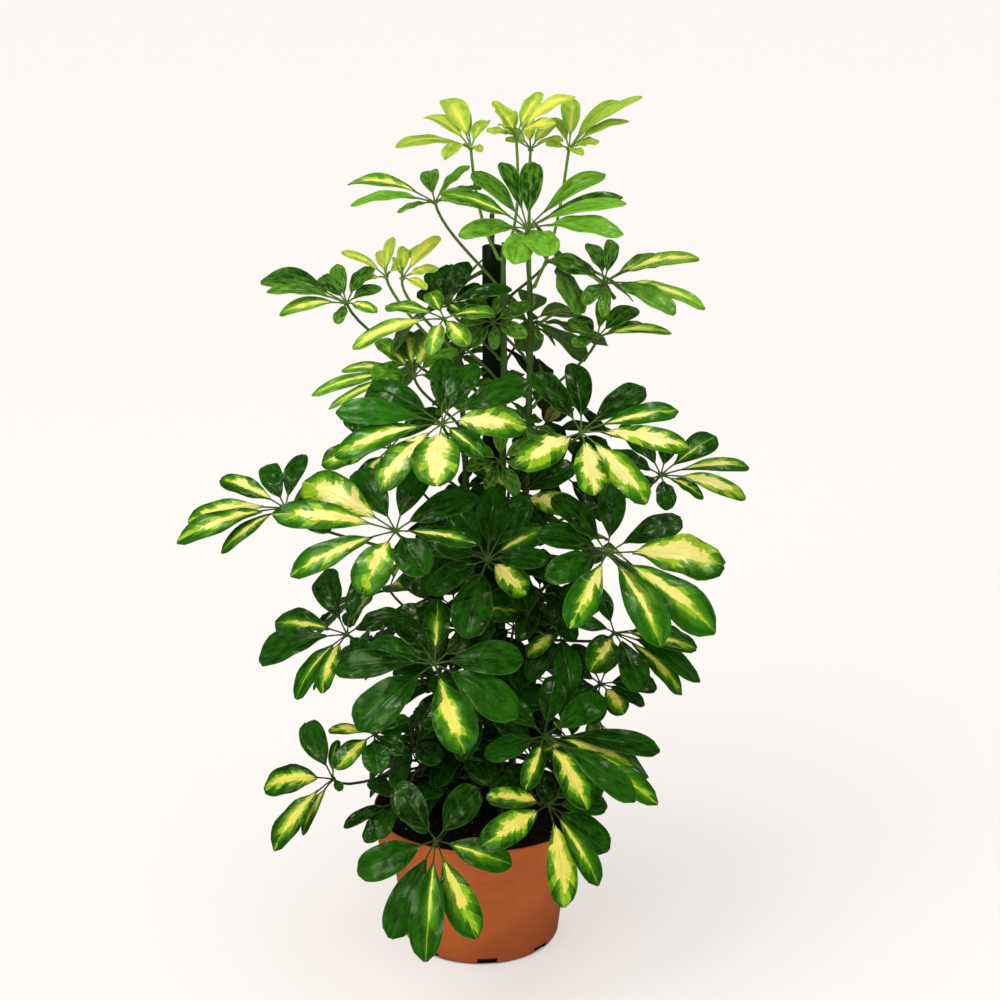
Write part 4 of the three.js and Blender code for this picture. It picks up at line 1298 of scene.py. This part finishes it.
    def neck(self, piece: Piece, leaflet: Leaflet) -> None:
        """Adds one leaflet's short stalk, which runs on under the blade as its midrib.

        Args:
            piece: The leaf's piece.
            leaflet: The leaflet.
        """
        steps = (0.0, 0.1, Leaflet.NECK, 0.27, 0.45, 0.7, 0.92)
        radii = (self.NECK_RADIUS * 1.25, self.NECK_RADIUS * 0.85, self.NECK_RADIUS, 0.9, 0.7, 0.5, 0.2)
        sink = (0.0, 0.0, 0.2, 0.75, 0.8, 0.7, 0.6)
        path = [leaflet.centre(t) - leaflet.face(t) * low for t, low in zip(steps, sink)]
        made = piece.tube(path, radii, 5, 2)
        for vert in made:
            vert[piece.traits] = Vector((leaflet.splash, leaflet.tone, leaflet.seed))

    def build(self, shop: Shop) -> bpy.types.Object:
        """Models the leaf and gives it its finishes.

        Args:
            shop: The materials.

        Returns:
            The leaf's piece, which stands for its CAD node.
        """
        piece = Piece(f"{self.plan.name}_leaf")
        path, outward = self.stalk()
        last = len(path) - 1
        radii = [self.STALK_FOOT_RADIUS * 1.25, self.STALK_FOOT_RADIUS]
        radii += [self.STALK_RADIUS * spread(i, 2, last, 1.12, 0.98) for i in range(2, last + 1)]
        piece.tube(path, radii, self.STALK_SIDES, 2, outward)
        squash = Matrix.Diagonal((1.0, 1.0, self.HUB_HEIGHT / 2 / self.HUB_RADIUS, 1.0))
        turned = self.star.out.to_track_quat("Z", "Y").to_matrix().to_4x4()
        place = Matrix.Translation(self.hub) @ turned @ squash
        ball = self.HUB_RADIUS * self.HUB_SHARE
        hub = bmesh.ops.create_icosphere(piece.mesh, subdivisions=2, radius=ball, matrix=place)
        for face in {face for vert in hub["verts"] for face in vert.link_faces}:
            face.material_index = 2
            face.smooth = True
        for leaflet in self.leaflets:
            self.neck(piece, leaflet)
            self.blade(piece, leaflet)
        growth = self.plan.growth
        stalk = YOUNG_STALK if growth is Growth.YOUNG else LEAF_STALK
        materials = [shop.material(BLADE_FINISHES[growth]), shop.material(UNDER_FINISHES[growth]),
                     shop.material(stalk)]
        made = piece.finish(materials, "young_leaf" if growth is Growth.YOUNG else "leaf", 60.0)
        if self.corners is not None:
            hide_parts(f"leaf_{self.plan.name}")
        return made


@dataclass
class RearGrowth:
    """The leaves round the back and the sides, from the same draws as the part's source."""

    count: int = 14
    seed: int = 4127
    lowest: float = 250
    highest: float = 860
    leaflets: int = 8
    tries: int = 60
    low_reach: float = 215
    high_reach: float = 110
    fresh_from: float = 700
    fresh_tone: float = 0.12
    tone: float = 0.3

    def plans(self, nodes: dict[str, bpy.types.Object]) -> Iterator[LeafPlan]:
        """Steps through the draws and yields each leaf that the solids have.

        Args:
            nodes: The CAD nodes by name.

        Yields:
            The plan of each rear leaf.
        """
        draws = Draws(self.seed)
        for i in range(self.count):
            height = spread(i / (self.count - 1), 0, 1, self.lowest, self.highest)
            corners = SolidCorners(nodes[f"leaf_rear_{i + 1}"])
            for _ in range(self.tries):
                plan = self.place(draws, i, height)
                if not corners.has(self.foot(plan)):
                    continue
                first = 40 * draws.next()
                stars = []
                for j in range(self.leaflets):
                    at = first - 180 + 360 / self.leaflets * j
                    stars.append((at, 90 + 18 * draws.next() + (12 if abs(at) > 80 else -8)))
                fresh = height > self.fresh_from
                yield replace(plan, leaflets=tuple(stars), growth=Growth.BRIGHT if fresh else Growth.MATURE,
                              tone=self.fresh_tone if fresh else self.tone)
                break

    def place(self, draws: Draws, i: int, height: float) -> LeafPlan:
        """Draws one place for a rear leaf.

        Args:
            draws: The draws.
            i: The leaf's number, from 0.
            height: Its height over the floor.

        Returns:
            The leaf's plan, without its leaflets.
        """
        turn = 75 + 210 * draws.next()
        wide = spread(height, self.lowest, self.highest, self.low_reach, self.high_reach)
        wide *= 0.6 if i % 3 == 0 else 1
        reach = wide * (0.75 + 0.25 * draws.next())
        angle = math.radians(turn)
        hub = (15 + 0.8 * reach * math.sin(angle), -reach * math.cos(angle), height + 30 * draws.next())
        side = "stem_left" if hub[0] < 0 else "stem_right"
        stem = "stem_back" if abs(hub[0]) < 90 else side
        root = min(STEMS[stem][-1][2] - 12 - 20 * draws.next(), hub[2] - 0.45 * reach)
        return LeafPlan(f"rear_{i + 1}", stem, max(root, 190), hub, (turn, 50 + 15 * draws.next()), 0, ())

    @staticmethod
    def foot(plan: LeafPlan) -> Vector:
        """Finds where a plan's stalk would start on the solid.

        Args:
            plan: The plan.

        Returns:
            The top corner of the stalk's foot.
        """
        bare = CompoundLeaf.__new__(CompoundLeaf)
        bare.plan, bare.hub, bare.star = plan, Vector(plan.hub), Star.facing(*plan.facing)
        path, outward = bare.stalk()
        return path[0] + outward * 2.0 + Vector((0, 0, CompoundLeaf.STALK_FOOT_RADIUS))


@dataclass
class InnerGrowth:
    """Shaded leaves close to the stems and, higher up, slender fresh ones, which close the gaps."""

    count: int = 36
    seed: int = 7331
    lowest: float = 208
    highest: float = 815
    crowding: float = 1.25
    slender_from: float = 545
    fresh_from: float = 640
    near: float = 38
    far: float = 112
    apart: float = 58
    tries: int = 80
    leaflets: int = 7
    slender: float = 0.55
    ring: int = 6
    ring_from: float = 108
    ring_to: float = 252
    ring_reach: float = 84
    ring_height: float = 220

    @staticmethod
    def hub_at(turn: float, reach: float, height: float) -> Point:
        """Returns the point at a turn from the front and a reach from the stems."""
        angle = math.radians(turn)
        return 15 + reach * math.sin(angle), -reach * math.cos(angle), height

    def plans(self, hubs: Sequence[Point]) -> list[LeafPlan]:
        """Places the shaded leaves clear of the hubs that are there, then a ring round the back that isn't
        kept clear.

        Args:
            hubs: The hubs of the other leaves.

        Returns:
            The plan of each shaded leaf.
        """
        draws = Draws(self.seed)
        known = [Vector(hub) for hub in hubs]
        made = []
        for i in range(self.count):
            height = spread((i / (self.count - 1)) ** self.crowding, 0, 1, self.lowest, self.highest)
            for _ in range(self.tries):
                turn = draws.between(-180, 180)
                reach = draws.between(self.near, self.far) * (0.6 if height > self.slender_from else 1)
                hub = self.hub_at(turn, reach, height + draws.between(-12, 12))
                apart = self.apart * (0.7 if height > self.fresh_from else 1)
                if all((Vector(hub) - other).length > apart for other in known):
                    known.append(Vector(hub))
                    share = self.slender if hub[2] > self.slender_from else 1
                    made.append(self.plan(draws, i, hub, turn, share))
                    break
        for i in range(self.ring):
            turn = spread(i, 0, self.ring - 1, self.ring_from, self.ring_to)
            hub = self.hub_at(turn, self.ring_reach, self.ring_height + draws.between(-5, 12))
            made.append(self.plan(draws, self.count + i, hub, turn, self.slender))
        return made

    def plan(self, draws: Draws, i: int, hub: Point, turn: float, share: float) -> LeafPlan:
        """Draws one shaded leaf round a hub.

        Args:
            draws: The draws.
            i: The leaf's number.
            hub: Its hub.
            turn: The hub's turn from the front, in degrees.
            share: The leaflets' share of the usual length.

        Returns:
            The leaf's plan.
        """
        stem = "stem_back" if abs(turn) > 110 else ("stem_left" if hub[0] < 15 else "stem_right")
        root = min(STEMS[stem][-1][2] - 15, max(hub[2] - draws.between(40, 80), 186))
        first = draws.between(-180, -135)
        stars = [(first + 360 / self.leaflets * k + draws.between(-6, 6), draws.between(68, 92) * share)
                 for k in range(self.leaflets)]
        facing = (turn + draws.between(-25, 25), draws.between(35, 62))
        lift = draws.between(-4, 8)
        fresh = hub[2] > self.fresh_from
        # Painted shade: the shaded leaves take the darkest tones.
        tone = draws.between(0.05, 0.3) if fresh else draws.between(0.0, 0.1)
        return LeafPlan(f"shaded_{i + 1}", stem, root, hub, facing, lift, tuple(stars), "0" * self.leaflets,
                        Growth.BRIGHT if fresh else Growth.MATURE, tone)


@dataclass
class Stem:
    """One leafy stem: a tapered green trunk with a ring where each leaf stalk leaves it."""

    name: str
    roots: list[float]
    sides: int = 12
    rows: int = 90
    ring: float = 0.22
    ring_below: float = 2.5
    ring_width: float = 3.0
    tip: float = 0.6

    def at(self, height: float) -> tuple[float, float, float]:
        """Returns x, y and radius of the stem at a height."""
        points = STEMS[self.name]
        return tuple(through([(p[2], p[k]) for p in points], height) for k in (0, 1, 3))

    def build(self, shop: Shop) -> bpy.types.Object:
        """Models the stem.

        Args:
            shop: The materials.

        Returns:
            The stem's piece.
        """
        bottom, top = STEMS[self.name][0][2], STEMS[self.name][-1][2]
        heights = {bottom + (top - bottom) * i / self.rows for i in range(self.rows + 1)}
        rings = {root + more for root in self.roots for more in (-2 * self.ring_below, -self.ring_below, 0)}
        heights |= {height for height in rings if bottom < height < top}
        path, radii = [], []
        for height in sorted(heights):
            x, y, radius = self.at(height)
            swell = sum(math.exp(-(((height - root + self.ring_below) / self.ring_width) ** 2))
                        for root in self.roots)
            path.append(Vector((x, y, height)))
            knobs = 0.98 + 0.04 * noise.noise(Vector((x, y, height * 0.06)))
            radii.append(radius * (1 + self.ring * min(swell, 1.0)) * knobs)
        radii[-1] *= self.tip
        piece = Piece(f"{self.name}_grown")
        piece.tube(path, radii, self.sides)
        made = piece.finish([shop.material(STEM_SKIN)], "stem", 50.0)
        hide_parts(self.name)
        return made


@dataclass
class Pot:
    """Moulded plastic nursery pot with a tall collar and small notches round its foot."""

    height: float = 175
    rim_radius: float = 135
    base_radius: float = 99
    base_corner: float = 9
    collar_height: float = 42
    collar_taper: float = 4
    body_top_radius: float = 114
    wall: float = 2.4
    floor: float = 3.2
    lip: float = 2.6
    notches: int = 8
    notch_width: float = 25
    notch_height: float = 10.5
    notch_depth: float = 13
    notch_turn: float = 5
    steps: int = 128

    def arc(self, radius_at: float, height_at: float, radius: float, start: float, end: float,
            steps: int) -> list[tuple[float, float]]:
        """Returns profile points on an arc.

        Args:
            radius_at: Distance of the arc's centre from the axis.
            height_at: Height of the arc's centre.
            radius: The arc's radius.
            start: First angle in degrees.
            end: Last angle in degrees.
            steps: Number of steps.

        Returns:
            Points as (radius, height).
        """
        angles = [math.radians(start + (end - start) * i / steps) for i in range(steps + 1)]
        return [(radius_at + radius * math.cos(a), height_at + radius * math.sin(a)) for a in angles]

    def profile(self) -> list[tuple[float, float]]:
        """Draws the wall's section.

        Returns:
            Points as (radius, height), from the axis out along the outside and back inside.
        """
        shoulder = self.height - self.collar_height
        foot = self.rim_radius - self.collar_taper
        standing = self.base_radius - self.base_corner
        lean = (self.body_top_radius - self.base_radius) / shoulder
        inner = self.base_radius + lean * self.base_corner - self.wall
        return [
            (0, 1.2), (self.base_radius - 24, 1.2), (self.base_radius - 22, 0),
            *self.arc(standing, self.base_corner, self.base_corner, -90, 0, 6),
            (self.body_top_radius, shoulder - 2.5), (self.body_top_radius + 1, shoulder - 0.6),
            (self.body_top_radius + 3, shoulder), (foot - 1.2, shoulder), (foot - 0.3, shoulder + 0.4),
            (foot, shoulder + 1.4), (foot + 0.4, shoulder + 3),
            (self.rim_radius - 0.3, self.height - 6), (self.rim_radius, self.height - 4.5),
            *self.arc(self.rim_radius - self.lip / 2, self.height - self.lip / 2, self.lip / 2, 0, 180, 6),
            (foot - self.wall, shoulder + self.wall + 1), (foot - self.wall - 1, shoulder + self.wall),
            (self.body_top_radius - self.wall, shoulder + self.wall),
            (self.body_top_radius - self.wall, shoulder - 1),
            (inner, self.base_corner), (standing, self.floor), (0, self.floor),
        ]

    def build(self, shop: Shop) -> bpy.types.Object:
        """Models the pot and cuts its notches.

        Args:
            shop: The materials.

        Returns:
            The pot's piece.
        """
        cutter = Piece("notch_cutter")
        box = Matrix.Diagonal((self.notch_width, 2 * self.notch_depth, 2 * self.notch_height, 1))
        for i in range(self.notches):
            turn = math.radians(self.notch_turn + i * 360 / self.notches)
            place = Matrix.Rotation(turn, 4, "Z") @ Matrix.Translation((0, -self.base_radius, 0))
            bmesh.ops.create_cube(cutter.mesh, size=1.0, matrix=place @ box)
        bmesh.ops.scale(cutter.mesh, vec=(MM, MM, MM), verts=cutter.mesh.verts[:])
        data = bpy.data.meshes.new("notch_cutter")
        cutter.mesh.to_mesh(data)
        cutter.mesh.free()
        tool = bpy.data.objects.new("notch_cutter", data)
        bpy.context.scene.collection.objects.link(tool)
        piece = Piece("pot_moulded")
        piece.turned(self.profile(), self.steps)
        made = piece.finish([shop.material(PlasticFinish())], "pot", 30.0)
        cut = made.modifiers.new("notches", "BOOLEAN")
        cut.operation, cut.solver, cut.object = "DIFFERENCE", "EXACT", tool
        bpy.context.view_layer.update()
        whole = made.evaluated_get(bpy.context.evaluated_depsgraph_get())
        shaped = bpy.data.meshes.new_from_object(whole)
        made.modifiers.clear()
        made.data = shaped
        bpy.data.objects.remove(tool)
        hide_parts("pot")
        return made


@dataclass
class Soil:
    """Dark potting soil: an uneven bed with loose crumbs and a few white specks."""

    level: float = 161
    radius: float = 130.7
    collar: float = 128.3
    waist: float = 111.3
    shoulder: float = 135.7
    foot: float = 90
    depth: float = 3.5
    rings: int = 26
    steps: int = 110
    crumbs: int = 900
    specks: int = 46

    LUMP = ((0.7, 1.5), (0.6, 1.1), (0.5, 0.9))

    def top(self, x: float, y: float) -> float:
        """Works out the uneven top of the bed.

        Args:
            x: Place to the right.
            y: Place to the back.

        Returns:
            The bed's height there.
        """
        far = math.hypot(x, y)
        swell = 3 * math.sin(x / 17 + 1) * math.cos(y / 13)
        lump = 2.2 * noise.noise(Vector((x / 9, y / 9, 3.1)))
        lump += 1.1 * noise.noise(Vector((x / 3.6, y / 3.6, 8.2)))
        edge = min(max((self.radius - far) / 12, 0.0), 1.0)
        return self.level + 1.0 + (swell + lump) * (0.35 + 0.65 * edge) - 1.5 * (far / self.radius) ** 2

    def bed(self, shop: Shop) -> bpy.types.Object:
        """Models the bed.

        Args:
            shop: The materials.

        Returns:
            The bed's piece.
        """
        piece = Piece("soil_bed")
        rows = [(self.radius * (i / self.rings) ** 0.8, self.level) for i in range(self.rings, -1, -1)]
        low = [(0, self.depth), (self.foot, self.depth), (self.waist - 13, 9.3),
               (self.waist, self.shoulder), (self.collar, self.shoulder)]
        piece.turned(low + rows, self.steps)
        for vert in piece.mesh.verts:
            if vert.co.z > self.level - 1:
                vert.co.z = self.top(vert.co.x, vert.co.y)
        made = piece.finish([shop.material(SoilFinish())], "soil", 60.0)
        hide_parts("soil")
        return made

    def scatter(self, name: str, count: int, small: float, large: float, seed: int,
                material: bpy.types.Material) -> bpy.types.Object:
        """Strews small lumps over the bed.

        Args:
            name: The piece's name.
            count: Number of lumps.
            small: Smallest radius.
            large: Largest radius.
            seed: Seed of the draws.
            material: Their finish.

        Returns:
            The lumps as one piece.
        """
        draws = Draws(seed)
        piece = Piece(name)
        for _ in range(count):
            far, turn = (self.radius - 4) * math.sqrt(draws.next()), draws.between(0, 2 * math.pi)
            x, y = far * math.cos(turn), far * math.sin(turn)
            size = small + (large - small) * draws.next() ** 2
            axis = [draws.between(-1, 1) for _ in range(3)]
            tilt = Quaternion(axis, draws.next() * 6).to_matrix().to_4x4()
            stretch = Matrix.Diagonal([draws.between(*shares) for shares in self.LUMP] + [1])
            middle = Vector((x, y, self.top(x, y)))
            place = Matrix.Translation(middle + Vector((0, 0, size * 0.25))) @ tilt @ stretch
            lump = bmesh.ops.create_icosphere(piece.mesh, subdivisions=1, radius=size, matrix=place)
            for vert in lump["verts"]:
                vert.co = middle + (vert.co - middle) * draws.between(0.8, 1.2)
        return piece.finish([material], "soil", 80.0)

    def build(self, shop: Shop) -> list[bpy.types.Object]:
        """Models the bed, the crumbs and the specks.

        Args:
            shop: The materials.

        Returns:
            Their pieces.
        """
        return [self.bed(shop),
                self.scatter("soil_crumbs", self.crumbs, 1.0, 4.6, 811, shop.material(SoilFinish())),
                self.scatter("soil_specks", self.specks, 0.8, 2.2, 977, shop.material(SpeckFinish()))]


@dataclass
class Support:
    """The dark pole that the stems stand against, and the thin cane in its top."""

    at: tuple[float, float] = (15, 0)
    pole_radius: float = 11.5
    pole_foot: float = 20
    pole_top: float = 892
    socket_radius: float = 3.3
    socket_depth: float = 40.3
    cane_radius: float = 3
    cane_foot: float = 852
    cane_top: float = 930

    def build(self, shop: Shop) -> list[bpy.types.Object]:
        """Models the pole and the cane.

        Args:
            shop: The materials.

        Returns:
            Their pieces.
        """
        pole = Piece("pole_coated")
        r, top = self.pole_radius, self.pole_top
        rows = [(r, self.pole_foot + 2 + (top - self.pole_foot - 4) * i / 60) for i in range(61)]
        rows = [(radius * (1 + 0.006 * math.sin(height / 7.3)), height) for radius, height in rows]
        pole.turned([
            (0, self.pole_foot), (r - 1.5, self.pole_foot), *rows, (r - 0.4, top - 0.7), (r - 1.6, top),
            (self.socket_radius + 0.5, top), (self.socket_radius, top - 0.5),
            (self.socket_radius, top - self.socket_depth), (0, top - self.socket_depth),
        ], 40, self.at)
        cane = Piece("cane_slim")
        c, tip = self.cane_radius, self.cane_top
        cane.turned([
            (0, self.cane_foot), (c - 0.4, self.cane_foot), (c, self.cane_foot + 0.5),
            (c * 0.98, tip - 30), (c * 1.06, tip - 27), (c * 0.98, tip - 24),
            (c * 0.96, tip - 1), (c * 0.6, tip), (0, tip),
        ], 20, self.at)
        made = [pole.finish([shop.material(PoleFinish())], "support_pole"),
                cane.finish([shop.material(CaneFinish())], "support_cane")]
        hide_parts("support_pole")
        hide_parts("support_cane")
        return made


@dataclass
class Studio:
    """Pale floor, soft lights and the camera at the photograph's angle."""

    camera_at: Point = (0.0244, -2.73, 1.466)
    camera_tilt: float = 18.0
    lens: float = 85.36
    floor_size: float = 60.0
    world: Colour = (1.0, 0.99, 0.98, 1.0)
    world_strength: float = 0.1

    def floor(self, shop: Shop) -> None:
        """Lays the floor under the plant.

        Args:
            shop: The materials.
        """
        bm = bmesh.new()
        bmesh.ops.create_grid(bm, x_segments=8, y_segments=8, size=self.floor_size / 2)
        data = bpy.data.meshes.new("floor")
        bm.to_mesh(data)
        bm.free()
        floor = bpy.data.objects.new("floor", data)
        data.materials.append(shop.material(FloorFinish()))
        bpy.context.scene.collection.objects.link(floor)
        floor.visible_glossy = False
        floor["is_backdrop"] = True

    def lamp(self, name: str, at: Point, target: Point, size: float, power: float,
             shine_only: bool = False) -> None:
        """Hangs a square soft light.

        Args:
            name: The light's name.
            at: Its place, in metres.
            target: The point it faces.
            size: Its side.
            power: Its power, in watts.
            shine_only: Whether it shows only as a shine on glossy surfaces.
        """
        data = bpy.data.lights.new(name, "AREA")
        data.size, data.energy, data.color = size, power, (1.0, 0.98, 0.95)
        lamp = bpy.data.objects.new(name, data)
        lamp.location = at
        lamp.rotation_euler = (Vector(target) - Vector(at)).to_track_quat("-Z", "Y").to_euler()
        lamp.visible_diffuse = not shine_only
        bpy.context.scene.collection.objects.link(lamp)

    def sun(self, name: str, turn: float, height: float, strength: float, wide: float) -> None:
        """Sets a broad, even light from a direction, which glossy surfaces don't mirror.

        Args:
            name: The light's name.
            turn: Turn from the front, in degrees.
            height: Height over the floor, in degrees.
            strength: How strong it is.
            wide: How wide the lit patch of sky is, in degrees.
        """
        data = bpy.data.lights.new(name, "SUN")
        data.energy, data.angle, data.color = strength, math.radians(wide), (1.0, 0.985, 0.96)
        lamp = bpy.data.objects.new(name, data)
        a, e = math.radians(turn), math.radians(height)
        way = Vector((math.sin(a) * math.cos(e), -math.cos(a) * math.cos(e), math.sin(e)))
        lamp.rotation_euler = (-way).to_track_quat("-Z", "Y").to_euler()
        lamp.visible_glossy = False
        bpy.context.scene.collection.objects.link(lamp)

    def camera(self) -> None:
        """Sets the camera at the photograph's angle."""
        data = bpy.data.cameras.new("camera")
        data.lens, data.sensor_width, data.clip_end = self.lens, 36.0, 100.0
        camera = bpy.data.objects.new("camera", data)
        camera.location = self.camera_at
        camera.rotation_euler = (math.radians(90 - self.camera_tilt), 0, 0)
        bpy.context.scene.collection.objects.link(camera)
        bpy.context.scene.camera = camera

    def build(self, shop: Shop) -> None:
        """Sets the floor, lights, background and camera.

        Args:
            shop: The materials.
        """
        scene = bpy.context.scene
        world = bpy.data.worlds.new("studio")
        world.use_nodes = True
        background = world.node_tree.nodes["Background"]
        background.inputs["Color"].default_value = self.world
        background.inputs["Strength"].default_value = self.world_strength
        scene.world = world
        scene.view_settings.view_transform = "Standard"
        self.floor(shop)
        self.camera()
        self.sun("sky", -10, 78, 1.95, 165)
        self.sun("front", -8, 16, 0.75, 120)
        self.sun("key", -40, 60, 0.95, 42)
        self.lamp("front_box", (-1.5, -2.2, 2.3), (0, 0, 0.6), 1.0, 20)
        self.lamp("left_strip", (-1.3, -0.4, 2.5), (0, 0, 0.6), 0.42, 13, shine_only=True)
        self.lamp("right_strip", (1.4, 0.2, 2.5), (0, 0, 0.6), 0.36, 7, shine_only=True)


def corners(box: Sequence[Vector]) -> list[list[float]]:
    """Returns a box as plain lists of numbers."""
    return [[float(value) for value in corner] for corner in box]


def main() -> None:
    """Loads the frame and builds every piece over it."""
    logging.basicConfig(level=logging.INFO, format="%(message)s")
    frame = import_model()
    solid_box = corners(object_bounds())
    shop = Shop()
    Studio().build(shop)
    LOG.info("studio set")
    pot = Pot().build(shop)
    LOG.info("%s: %d faces", pot.name, len(pot.data.polygons))
    for piece in (*Soil().build(shop), *Support().build(shop)):
        LOG.info("%s: %d faces", piece.name, len(piece.data.polygons))
    plans = [*LEAVES, *RearGrowth().plans(frame["nodes"])]
    shaded = InnerGrowth().plans([plan.hub for plan in plans])
    for name in STEMS:
        stem = Stem(name, [plan.root for plan in (*plans, *shaded) if plan.stem == name]).build(shop)
        LOG.info("%s: %d faces", stem.name, len(stem.data.polygons))
    total = 0
    for i, plan in enumerate((*plans, *shaded)):
        node = frame["nodes"].get(f"leaf_{plan.name}")
        leaf = CompoundLeaf(plan, SolidCorners(node) if node else None, 1009 + 37 * i)
        made = leaf.build(shop)
        total += len(leaf.leaflets)
        LOG.info("%s: %d of %d leaflets, %d faces", made.name, len(leaf.leaflets), len(plan.leaflets),
                 len(made.data.polygons))
    LOG.info("%d leaflets on %d leaves", total, len(plans) + len(shaded))
    {"cad": solid_box, "visual": corners(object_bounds())}


if __name__ == "__main__":
    main()
